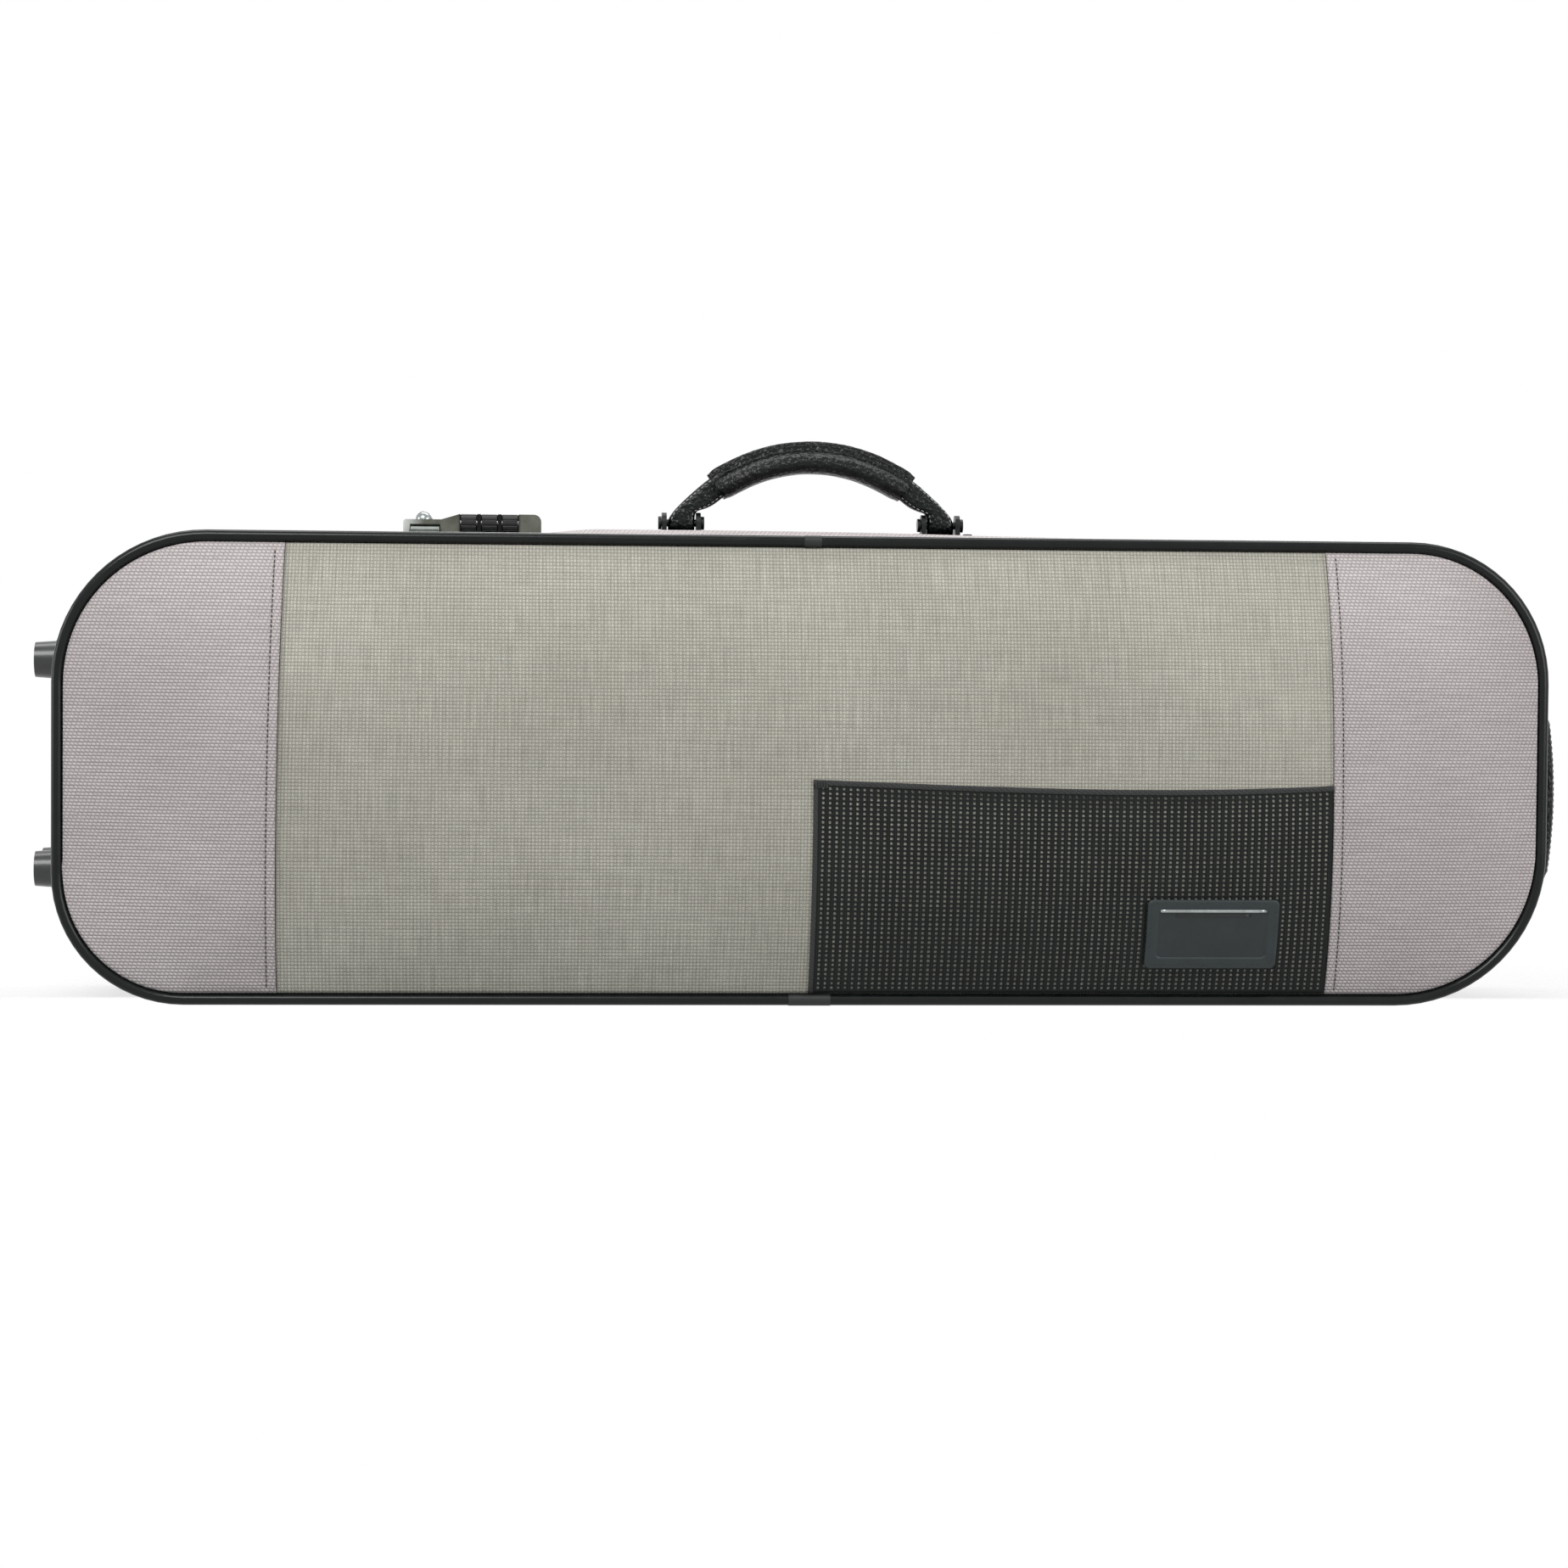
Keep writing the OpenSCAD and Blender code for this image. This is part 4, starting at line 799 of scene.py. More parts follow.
def stitching(name, runs, pitch, length, radius, material, body, slot):
    """Stitches along runs of (point, normal), each a slim capsule. They stand for no CAD node."""
    form, faces = Form(), []
    pitch, length, radius = pitch * MM, length * MM, radius * MM
    for run in runs:
        points, ups = zip(*run)
        lengths = travelled(points)
        count = max(1, int(lengths[-1] / pitch))
        spare = (lengths[-1] - count * pitch) / 2

        def at(s):
            k = min(max(np.searchsorted(lengths, s) - 1, 0), len(points) - 2)
            t = (s - lengths[k]) / max(1e-9, lengths[k + 1] - lengths[k])
            return points[k].lerp(points[k + 1], t), ups[k].lerp(ups[k + 1], t).normalized()

        for i in range(count):
            start = spare + i * pitch
            (a, up), (b, _) = at(start), at(start + length)
            side = (b - a).cross(up).normalized()
            faces += [tuple(len(form.verts) + c for c in face) for face in STITCH_FACES]
            for t, w in STITCH:
                centre = a.lerp(b, t) - up * (radius * (1 - w) * 0.9)
                for c, s in around(6, radius * w):
                    form.add(centre + side * c + up * (s * 0.7), start / MM)
    form.build(name, faces, material, body, slot, stands=False, out=False)


RIBBON_HALF = ((-0.5, -0.5), (-0.5, 0.1), (-0.47, 0.4), (-0.4, 0.5), (-0.2, 0.5))
RIBBON_SECTION = (*RIBBON_HALF, (0.0, 0.5), *((-a, b) for a, b in reversed(RIBBON_HALF)))


def ribbon(name, run, width, thickness, material, body, slot, stands=True, puff=0.0):
    """A flat band along (point, normal, across) stations, with softened edges."""
    form = Form()
    for (p, up, across), s in zip(run, travelled([p for p, *_ in run])):
        for a, b in RIBBON_SECTION:
            swell = puff * (1 - (2 * a) ** 2) if b == 0.5 else 0.0
            form.add(p + across * (a * width * MM) + up * ((b * thickness + swell) * MM), s / MM, a * width)
    form.build(name, tube_faces(len(run), len(RIBBON_SECTION)), material, body, slot, stands)


def along_path(points, across):
    """Ribbon stations along points, the ribbon's flat side turned with the path."""
    ends = zip(points[:1] + points[:-1], points[1:] + points[-1:])
    return [(p, across.cross(b - a).normalized(), across) for p, (a, b) in zip(points, ends)]


def push(mesh, by):
    """Moves each vertex along its normal by a number of millimetres."""
    moves = [(v.co.copy(), v.normal.copy()) for v in mesh.vertices]
    pushed = [co + normal * (by(co) * MM) for co, normal in moves]
    mesh.vertices.foreach_set("co", [c for co in pushed for c in co])
    mesh.update()


def soft_form(name, node, voxel, reshape, material, body):
    """A CAD soft solid, remeshed evenly and reshaped, that stands for its node."""
    obj = linked(name, nodes[node].data.copy())
    modify(obj, "REMESH", mode="VOXEL", voxel_size=voxel * MM)
    reshape(obj)
    obj.data.shade_smooth()
    obj.data.materials.clear()
    obj.data.materials.append(material)
    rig.ride(obj, body)
    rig.replaces(obj, node)
    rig.slot(obj, node)
    return obj


def soften(name, node, voxel, rounds, material, body, swell):
    """A rounded, slightly uneven form."""

    def reshape(obj):
        modify(obj, "SMOOTH", factor=0.5, iterations=rounds)
        push(apply_all(obj).data, lambda co: swell * ripple(*(co / MM), 34.0, 3.1))

    return soft_form(name, node, voxel, reshape, material, body)


SWELL_PRESSURE, SWELL_FRAMES = 4.0, 20


def swell_cloth(obj, cap):
    """Swells a closed form by cloth pressure; no point moves further than the cap."""
    start = [v.co.copy() for v in obj.data.vertices]
    settings = modify(obj, "CLOTH").settings
    settings.use_pressure = True
    settings.uniform_pressure_force = SWELL_PRESSURE
    settings.effector_weights.gravity = 0.0
    settings.quality = 5
    for f in range(1, SWELL_FRAMES + 1):
        scene.frame_set(f)
    apply_all(obj)
    scene.frame_set(1)
    for v, was in zip(obj.data.vertices, start):
        step = v.co - was
        if step.length > cap * MM:
            v.co = was + step * (cap * MM / step.length)


def puffed(name, node, voxel, cap, draw_in, fill):
    """A stuffed form: drawn in a little, then swollen."""

    def reshape(obj):
        push(apply_all(obj).data, lambda co: -draw_in)
        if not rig.quick():
            swell_cloth(obj, cap)
        modify(obj, "SMOOTH", factor=0.4, iterations=2)
        modify(obj, "SUBSURF", levels=1, render_levels=1)
        apply_all(obj)

    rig.padded(soft_form(name, node, voxel, reshape, VELOUR, "base"), fill=fill)


# ---- CAD nodes that keep their shape and take a better material ----

PAINT = {
    PIPING: ("base_piping", "lid_piping"),
    TRIM: ("piping_clips", "end_handle_plates"),
    RUBBER: ("base_wear_strip", "lid_wear_strip", "foot_front_upper", "foot_front_lower",
             "foot_back_upper", "foot_back_lower"),
    STEEL: ("foot_screws", "hinge_pins", "lock_axle", "lock_screws"),
    HASP: ("lock_bolt", "hasp"),
    PLATE: ("lock_plate", "hinge_base_leaves", "hinge_lid_leaves"),
    LOCK: ("lock_housing",),
    CHROME: ("lock_knob",),
    BLACK_METAL: ("handle_bracket_left", "handle_bracket_right", "handle_pins", "handle_rivets"),
    RING_METAL: ("ring_left", "ring_right"),
    BLACK_PLASTIC: ("dial_left", "dial_middle", "dial_right", "bow_posts", "bow_clip_upper",
                    "bow_clip_lower"),
    BOARD: ("base_shell", "lid_frame", "lid_panel"),
    VELOUR: ("base_lining", "valance", "lid_lining", "violin_bed", "suspension_pads", "neck_cradle",
             "box_walls", "upper_box_lid", "lower_box_lid", "bow_tip_loops"),
}
for material, names in PAINT.items():
    for name in names:
        nodes[name].data.materials.clear()
        nodes[name].data.materials.append(material)

ROUNDED = {
    0.25: ("hinge_base_leaves", "hinge_lid_leaves", "dial_left", "dial_middle", "dial_right"),
    0.35: ("lock_plate",),
    0.4: ("hasp", "handle_bracket_left", "handle_bracket_right"),
    0.8: ("end_handle_plates", "bow_clip_upper", "bow_clip_lower"),
    1.1: ("lock_housing",),
}
for width, names in ROUNDED.items():
    for name in names:
        modify(nodes[name], "BEVEL", width=width * MM, segments=3, limit_method="ANGLE",
               angle_limit=math.radians(40), harden_normals=True)


# ---- where the seams and the pocket lie ----

LID_FRONT = [nodes["lid_cover_" + part] for part in ("left", "centre", "right")]
LEFT_TOP, LEFT_FOOT = [placed("seam_left_" + end, *LID_FRONT)[0] - SEAM_L for end in ("top", "foot")]
RIGHT_TOP, RIGHT_MIDDLE, RIGHT_FOOT = [placed("seam_right_" + part, *LID_FRONT)[0] - SEAM_R
                                       for part in ("top", "middle", "foot")]
POCKET_CORNER, POCKET_SAG, POCKET_END = [placed("pocket_" + part, *LID_FRONT)[1]
                                         for part in ("corner", "sag", "end")]


def bent(x, y):
    """Place along the case of a point on the lid's cloth: the sewn seams lean a little."""
    t = y / CASE_H
    left = LEFT_FOOT + (LEFT_TOP - LEFT_FOOT) * t ** 2
    bulge = 4 * RIGHT_MIDDLE - 2 * RIGHT_FOOT - 2 * RIGHT_TOP
    right = RIGHT_FOOT * (1 - t) + RIGHT_TOP * t + bulge * t * (1 - t)
    return x + left * math.exp(-((x - SEAM_L) / 60) ** 2) + right * math.exp(-((x - SEAM_R) / 40) ** 2)


# ---- outer fabric; side is -1 for the base and 1 for the lid ----

LID_PAD = 2.7


def rim_limit(y, level, side):
    """The level, kept out of the hinge groove."""
    reach = RIM_GAP / 2 + (max(0.0, HINGE_DEPTH - y) * GROOVE + 0.1 if y < HINGE_DEPTH else 0.0)
    return min(level, Z_RIM - reach) if side < 0 else max(level, Z_RIM + reach)


def wall_shape(side, low, high):
    """Side walls: clear of the groove, tucked behind the wear strip, and a little uneven elsewhere."""

    def shape(x, y, z, nx, ny, k):
        wobble = 0.22 * ripple(x, y, z, 55.0, 1.7)
        if ny < 0.2 and y < 20:
            wobble = min(0.0, wobble)
        if low < z < high:
            x, y = x + nx * wobble, y + ny * wobble
        if side > 0 and ny > 0.9:
            pad = smooth((x + 150) / 40) * smooth((215 - x) / 250)
            y += LID_PAD * pad * smooth((z - 23) / 14) * smooth((54 - z) / 10)
        if abs(x) < STRIP_HALF + 0.6 and y < STRIP_OUT and low <= z:
            y = STRIP_OUT
        return x, y, rim_limit(y, z, side)

    return shape


def rolled_edge(side):
    """The cloth's edge, rolled over the rim."""
    edge = Z_RIM + side * RIM_GAP / 2
    lip = ((COVER_T, 1.6), (COVER_T, 0.5), (COVER_T - 0.35, 0.08), (0.45, 0.05), (0.08, 0.5))
    return edge + side * 1.6, [(inset, edge + side * rise) for inset, rise in lip]


def back_shape(x, y, z, nx, ny, k):
    """The back's cloth stands a little proud between the edges."""
    return x, y, z + 0.25 * (1 + ripple(x, y, 0, 70.0, 5.0)) * smooth((k - 8) / 6)


def case_cloth():
    """The mauve cloth glued over the side walls of both halves, and over the back."""
    top, wall = rolled_edge(-1)
    wall += [(0.0, top - 3.5 * i) for i in range(int((top - Z_BACK - BACK_R) / 3.5))]
    wall += arc(BACK_R, Z_BACK + BACK_R, BACK_R, 180, 225, 5)
    swept("base_wall_cloth", wall, wall_shape(-1, Z_BACK + BACK_R, top - 1.4), MAUVE, "base", "base_cover")
    back = arc(BACK_R, Z_BACK + BACK_R, BACK_R, 225, 270, 5)
    back += [(inset, Z_BACK) for inset in (14, 17, 21, 27, 34, 42, 50, 58, 64)]
    mesh = swept("back_cloth", back, back_shape, MAUVE, "base", "base_cover", cap=True, stands=False).data
    for loop in mesh.loops:
        mesh.uv_layers[0].data[loop.index].uv = mesh.vertices[loop.vertex_index].co.xz
    foot, wall = rolled_edge(1)
    wall += [(0.0, foot + (Z_FRAME_TOP - 1.2 - foot) * i / 10) for i in range(11)]
    wall += [(0.1, Z_FRAME_TOP - 0.3), (0.6, Z_FRAME_TOP), (COVER_T, Z_FRAME_TOP)]
    swept("lid_wall_cloth", wall, wall_shape(1, foot + 1.4, Z_FRAME_TOP - 2), MAUVE, "lid", "lid_side_cover")


case_cloth()


def run_length(points):
    return sum((b - a).length for a, b in zip(points, points[1:]))


def grid_sheet(obj, columns, rests_on, thickness):
    """Declares a stretched sheet by its runs through the middle of its grid, then gives it thickness."""
    cos = [v.co for v in obj.data.vertices]
    rows = len(cos) // columns
    length = run_length(cos[columns // 2::columns])
    width = max(run_length(cos[k * columns:(k + 1) * columns]) for k in range(rows))
    area = sum(face.area for face in obj.data.polygons)
    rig.sheet(obj, flat=(width, max(length, area / width)), held="stretched", rests_on=[rests_on], area=area)
    return solid(obj, thickness)


FOLD = ((0.0, 3.0), (0.0, 0.9), (0.0012, 0.35), (0.004, 0.08), (0.009, 0.0))


def arched_cloth(name, xs, level, rows, material, thickness, slot, lift):
    """A sheet on the arch, folded under at the outline's edges; lift(x, y, t) raises it."""
    across = list(FOLD) + [(0.5 - 0.482 * math.cos(math.pi * (i + 0.5) / rows), 0.0) for i in range(rows)]
    across += [(1 - t, drop) for t, drop in reversed(FOLD)]
    form = Form()
    for x in xs:
        low, high = edges(COVER_INSET, x)
        for t, drop in across:
            y = low + (high - low) * t
            form.add(world(bent(x, y), y, level + arch(x, y) + lift(x, y, t) - drop), x, y)
    faces = [face[::-1] for face in grid_faces(len(xs), len(across))]
    obj = form.build(name, faces, material, "lid", slot, out=False)
    return grid_sheet(obj, len(across), "lid_panel", thickness)


def centre_lift(x, y, t):
    """The khaki cloth's slight waves, pressed flat under the pocket."""
    edge = min(abs(x - SEAM_L), abs(x - SEAM_R))
    swell = 0.35 * ripple(x, y, 0, 95.0, 2.2) + 0.12 * ripple(x, y, 0, 26.0, 7.0)
    pressed = smooth((x - POCKET_L + 18) / 18) * smooth((CASE_H / 2 + 12 - y) / 18)
    return swell * smooth(edge / 12) * smooth(min(t, 1 - t) * 14) * (1 - pressed)


SEAM_GAP, HEM_RISE, STITCH_IN = 0.15, 0.6, 5.05
HEM_STEPS = (0.0, 0.05, 0.25, 0.6, 1.2, 2.0, 3.0, 3.8, 4.2, 4.5, 4.8, 5.1, 5.4, 5.8, 6.4, 7.4, 9.0, 12.0,
             15.0)


def hem_lift(seam):
    """The folded hem at a seam: a flat raised band, a sewn groove, then the padded panel."""

    def lift(x, y, t):
        d = abs(x - seam)
        swell = 0.4 * ripple(x, y, 0, 60.0, 4.4) * smooth((d - 8) / 20) * smooth(min(t, 1 - t) * 12)
        puff = 0.45 * smooth((d - 4.9) / 5)
        fold = 0.5 * (1 - smooth((d - 3.9) / 0.9))
        groove = -0.4 * math.exp(-((d - 4.9) / 0.45) ** 2)
        pucker = 0.1 * math.sin(y * 2 * math.pi / 2.7) * math.exp(-((d - 5.2) / 1.4) ** 2)
        edge = -1.3 * (1 - smooth(d / 0.45))
        return (swell + puff + fold + groove + pucker + edge) * smooth(min(t, 1 - t) * 60) + edge * 0.2

    return lift


def hem_panel(side, seam, sign):
    """One of the lid's end panels, from its seam to the end of the case."""
    end, start = sign * (HALF - COVER_INSET), seam + sign * SEAM_GAP
    near = [start + sign * d for d in HEM_STEPS]
    far = [end - sign * 55 * (1 - math.cos(math.pi / 2 * i / 22)) for i in range(22, -1, -1)]
    xs = near + spaced(near[-1], far[0], 3.4)[1:-1] + far
    arched_cloth(f"lid_{side}_cloth", xs[::sign], Z_COVER + HEM_RISE, 96, MAUVE, 1.2, f"lid_cover_{side}",
                 hem_lift(start))


def arch_run(x):
    """A run up the lid's hem at a distance along it, lying on the fabric."""
    low, high = edges(COVER_INSET, x)
    ys = spaced(low + 2, high - 2, 3.0)
    return [(world(bent(x, y), y, Z_COVER + arch(x, y) + HEM_RISE + 0.12), arch_normal(x, y)) for y in ys]


centre = arched_cloth("lid_centre_cloth", spaced(SEAM_L + SEAM_GAP, SEAM_R - SEAM_GAP, 4.0), Z_COVER, 62,
                      KHAKI, 1.0, "lid_cover_centre", centre_lift)
hem_panel("left", SEAM_L, -1)
hem_panel("right", SEAM_R, 1)
stitching("seam_stitches", [arch_run(SEAM_L - STITCH_IN), arch_run(SEAM_R + STITCH_IN)], 2.7, 1.9, 0.26,
          THREAD_DARK, "lid", "lid_cover_left")


# ---- mesh pocket ----

NET_X, NET_ROWS = 3.57, 43
NET_LEFT, NET_RIGHT = 3.4, 1.5
NET_FOOT, NET_HEAD = 1.6, 2.8
NET_LIE, SAG_AT = 0.36, 0.73
HOLE = ((-1, -0.45), (-0.5, -1), (0.5, -1), (1, -0.45), (1, 0.45), (0.5, 1), (-0.5, 1), (-1, 0.45))
HOLE_X, HOLE_Y = 0.2, 0.3
# Faces round a hole; 0 to 5 are the places on the cell's edge, 6 to 13 the hole's
CELL = ((0, 1, 7, 6), (1, 2, 9, 8), (1, 8, 7), (2, 3, 10, 9), (3, 4, 11, 10), (4, 5, 13, 12), (4, 12, 11),
        (5, 0, 6, 13))


def pocket_share(x):
    return min(1.0, max(0.0, (x - POCKET_L) / (SEAM_R - POCKET_L)))


def pocket_edge(x):
    """Height of the pocket's sagging top edge."""
    t, rise = pocket_share(x), POCKET_END - POCKET_CORNER
    dip = POCKET_CORNER + rise * SAG_AT - POCKET_SAG
    shape = math.sin(math.pi * t ** 1.3) / math.sin(math.pi * SAG_AT ** 1.3)
    return POCKET_CORNER + rise * t - dip * max(0.0, shape) ** 0.8


def net_level(x, y):
    """The net lies on the cloth and stands a little off it at its open top edge."""
    top_gap = smooth(1 - (pocket_edge(x) - y) / 12.0)
    middle = math.sin(math.pi * pocket_share(x))
    return Z_COVER + NET_LIE + arch(x, y) + 0.8 * top_gap * middle + 0.08 * (1 + ripple(x, y, 0, 20.0, 9.0))


def pocket_net():
    """A knitted net with real holes, between a plain border at each side."""
    left, right = POCKET_L + 0.2, SEAM_R - 0.25
    start = left + NET_LEFT
    columns = round((right - NET_RIGHT - start) / NET_X)
    wide = (right - NET_RIGHT - start) / columns
    form, faces, index = Form(), [], {}

    def vert(x, v):
        """v counts rows from the pocket's bottom; below 0 and above the last row is its border."""
        key = (round(x, 4), round(v, 4))
        if key not in index:
            bottom, top = edges(COVER_INSET, x)[0] + 0.4, pocket_edge(x)
            y = bottom + NET_FOOT + (top - bottom - NET_FOOT - NET_HEAD) * v / NET_ROWS
            y = bottom if v < -0.5 else top if v > NET_ROWS + 0.5 else y
            index[key] = len(form.verts)
            form.add(world(bent(x, y), y, net_level(x, y)), x, y)
        return index[key]

    for i in range(columns):
        x0 = start + i * wide
        xm, x1 = x0 + wide / 2, x0 + wide
        for j in range(NET_ROWS):
            jitter = 1 + 0.16 * noise.noise(Vector((i * 0.73, j * 0.91, 4.0)))
            around = [vert(x, j) for x in (x0, xm, x1)] + [vert(x, j + 1) for x in (x1, xm, x0)]
            around += [vert(xm + HOLE_X * wide * jitter * a, j + 0.5 + HOLE_Y * jitter * b) for a, b in HOLE]
            faces += [tuple(around[c] for c in face) for face in CELL]
    xs = [start + i * wide / 2 for i in range(2 * columns + 1)]
    blocks = [(xs, (-1, 0)), (xs, (NET_ROWS, NET_ROWS + 1))]
    for edge, near, steps in ((left, start, 3), (right, xs[-1], 2)):
        blocks.append((spaced(edge, near, NET_LEFT / steps)[:-1] + [near], range(-1, NET_ROWS + 2)))
    for across, levels in blocks:
        for a, b in zip(across, across[1:]):
            faces += [(vert(a, u), vert(b, u), vert(b, v), vert(a, v)) for u, v in zip(levels, levels[1:])]
    obj = form.build("pocket_net", faces, NET, "lid", "mesh_pocket")
    area = sum(face.area for face in obj.data.polygons)
    reach = (SEAM_R - POCKET_L + 8) * MM
    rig.sheet(obj, flat=(reach, 0.122), held="stretched", rests_on=[centre], area=area)
    solid(obj, 0.3, 0.0)


def on_net(x, y, rise, lean=False):
    """A place on the net, and the lid's normal there."""
    return world(bent(x, y) if lean else x, y, net_level(x, y) + rise), arch_normal(x, y)


def pocket_trim():
    """The bands at the pocket's top and side, the tack at its corner and the stitches along its top."""
    xs = spaced(POCKET_L + 0.1, SEAM_R - 0.3, 3.0)
    run = [(*on_net(x, pocket_edge(x) - 1.3, 0.1, lean=True), UP) for x in xs]
    ribbon("pocket_band", run, 2.8, 1.3, GROSGRAIN, "lid", "pocket_binding")
    ys = spaced(edges(COVER_INSET, 1.0)[0] + 1, pocket_edge(POCKET_L) - 4.6, 3.0)
    run = [(*on_net(POCKET_L + 1.4, y, 0.15), RIGHT) for y in ys]
    ribbon("pocket_side_band", run, 2.4, 1.0, GROSGRAIN, "lid", "pocket_binding", stands=False)
    tack_y = pocket_edge(8) - 2.2
    tack = [on_net(x, tack_y, 0.95) for x in spaced(POCKET_L + 0.3, POCKET_L + 8.5, 1.0)]
    rows = [[(p + UP * (d * MM), n) for p, n in tack] for d in (-1.5, -0.9, -0.3, 0.3, 0.9, 1.5)]
    stitching("pocket_tack", rows, 1.4, 1.3, 0.32, THREAD_BLACK, "lid", "pocket_binding")
    edge = [(on_net(x, pocket_edge(x) - 1.4, 0.85)[0], arch_normal(x, pocket_edge(x)))
            for x in spaced(POCKET_L + 10, SEAM_R - 2, 3.0)]
    stitching("pocket_stitches", [edge], 3.0, 2.2, 0.2, THREAD_BLACK, "lid", "pocket_binding")


pocket_net()
pocket_trim()


# ---- badge ----

BORDER = ((0, 0.0), (0, 0.9), (0.25, 1.35), (0.7, 1.6), (1.3, 1.72), (4.6, 1.78), (5.3, 1.7), (5.8, 1.45),
          (6.1, 1.0), (6.25, 0.95))
WINDOW_INSET, WINDOW_RISE, BORDER_TOP, BADGE_STITCH_IN = 6.2, 0.95, 1.78, 2.1
BADGE_LEVEL = Z_COVER + 1.4


def rounded_loop(w, h, r, n=6):
    """Points round a rectangle w by h with corners r, about its middle; the first comes again at the end."""
    out = []
    for k, (sx, sy) in enumerate(((1, 1), (-1, 1), (-1, -1), (1, -1))):
        out += arc(sx * (w / 2 - r), sy * (h / 2 - r), r, 90 * k, 90 * k + 90, n)
    return dense(out + out[:1], 3.05)


def badge_plate():
    """A moulded plate on the arch: rounded border, sunk bare window with a bar, and a black strip at its top as the
    painted shade of its slot.
    """
    x0, y0, w, h = BADGE
    cx, cy = x0 + w / 2, y0 + h / 2

    def at(u, v, rise):
        return world(cx + u, cy + v, BADGE_LEVEL + arch(cx + u, cy + v) + rise)

    form, loop = Form(), rounded_loop(w, h, 3.0)[:-1]
    for inset, rise in BORDER:
        for u, v in loop:
            u, v = u * (w - 2 * inset) / w, v * (h - 2 * inset) / h
            form.add(at(u, v, rise), cx + u, cy + v)
    form.build("badge_border", grid_faces(len(BORDER), len(loop), wrap=True), BADGE_RUBBER, "lid", "badge")
    form, iw, ih, nu, nv = Form(), w - 2 * WINDOW_INSET, h - 2 * WINDOW_INSET, 40, 20
    for i in range(nu + 1):
        for j in range(nv + 1):
            co = at(iw * (i / nu - 0.5), ih * (j / nv - 0.5), WINDOW_RISE)
            form.add(co, co.x / MM, co.z / MM)
    form.build("badge_field", grid_faces(nu + 1, nv + 1), BADGE_FIELD, "lid", "badge", stands=False)
    bar_y = placed("badge_bar", nodes["badge"])[1] - cy

    def level_run(y, half, rise):
        return [(at(u, y, rise), arch_normal(cx + u, cy + bar_y), UP) for u in spaced(-half, half, 3.0)]

    ribbon("badge_bar", level_run(bar_y, iw / 2 - 0.6, 1.35), 1.7, 0.9, CHROME, "lid", "badge", False, 0.25)
    # Painted shade: a thin black strip stands for the dark inside of the slot.
    ribbon("badge_slot", level_run(bar_y - 2.6, 20, 1.05), 1.5, 0.3, BLACK_PLASTIC, "lid", "badge", False)
    loop = rounded_loop(w - 2 * BADGE_STITCH_IN, h - 2 * BADGE_STITCH_IN, 2.0)
    run = [(at(u, v, BORDER_TOP), arch_normal(cx + u, cy + v)) for u, v in loop]
    stitching("badge_stitches", [run], 2.6, 1.8, 0.22, THREAD_BLACK, "lid", "badge")


badge_plate()


# ---- carry handle ----

# Half of the grip's section, (radius, depth): the sewn flange on top, then the roll below it
GRIP_HALF = ((95.2, 0.0), (95.15, 1.1), (94.8, 1.9), (94.0, 2.25), (92.4, 2.3), (91.0, 2.35), (90.2, 2.7),
             (89.75, 3.5), (89.5, 4.8), (89.0, 6.8), (87.9, 9.2), (86.2, 11.2), (84.0, 12.4), (81.8, 12.2),
             (79.8, 10.6), (78.4, 8.0), (77.7, 4.6), (77.4, 0.0))
GRIP = GRIP_HALF + tuple((r, -d) for r, d in reversed(GRIP_HALF[1:-1]))
# Half the grip's angle, its tapered end and its flared part in degrees, and where its stitches run
GRIP_END, TAPER, FLARE_FROM, FLARE = 36.4, 3.2, 27.0, 9.0
FLANGE_R, FLANGE_OUT = 92.9, 2.42


def handle_point(r, angle, depth):
    up, across = polar(r, angle)
    return world(HANDLE_X + across, HANDLE_Y + up, -HANDLE_BACK - depth)


def grip_sleeve():
    """Leather folded round the handle's core, its edges sewn together on top."""
    form, angles, runs = Form(), spaced(-GRIP_END, GRIP_END, 1.15), travelled(GRIP)
    for angle in angles:
        end = smooth((abs(angle) - GRIP_END + TAPER) / TAPER)
        flare = 0.48 * smooth((abs(angle) - FLARE_FROM) / FLARE)
        size = 1 - 0.10 * end + 0.02 * ripple(angle, 0, 0, 9.0, 1.0)
        for (r, d), run in zip(GRIP, runs):
            co = handle_point(STRAP_R + (r - STRAP_R) * size + flare, angle, d * size)
            form.add(co, math.radians(angle) * STRAP_R, run)
    form.build("grip_sleeve", tube_faces(len(angles), len(GRIP)), LEATHER, "handle", "handle_grip")
    runs = [[(handle_point(FLANGE_R, a, side * FLANGE_OUT), BACK * side)
             for a in spaced(0.9 - GRIP_END, GRIP_END - 0.9, 1.5)] for side in (-1, 1)]
    stitching("grip_stitches", runs, 3.1, 2.2, 0.3, THREAD_BLACK, "handle", "handle_grip")


# The strap's legs past the arc: their outer and inner edge from the pivot pin, and half their depth
LEG_BEND = ((-4.4, 15.1, -13.9, 7.9, 5.0), (0.7, 10.2, -9.8, 6.9, 5.0), (4.4, 6.2, -7.5, 5.9, 5.0),
            (6.8, 2.6, -7.2, 2.6, 5.1))
EYE_HALF, EYE_R = 7.2, 5.1
LEG_EYE = tuple((EYE_HALF, -s, -EYE_HALF, -s, c)
                for c, s in (polar(EYE_R, angle) for angle in (0, 20, 40, 58, 72, 82)))
# How round a leg's section is across and in depth, and its stitches' place from middle to edge
LEG_ROUND, LEG_ROUND_DEEP, LEG_STITCH = 0.55, 0.62, 0.78


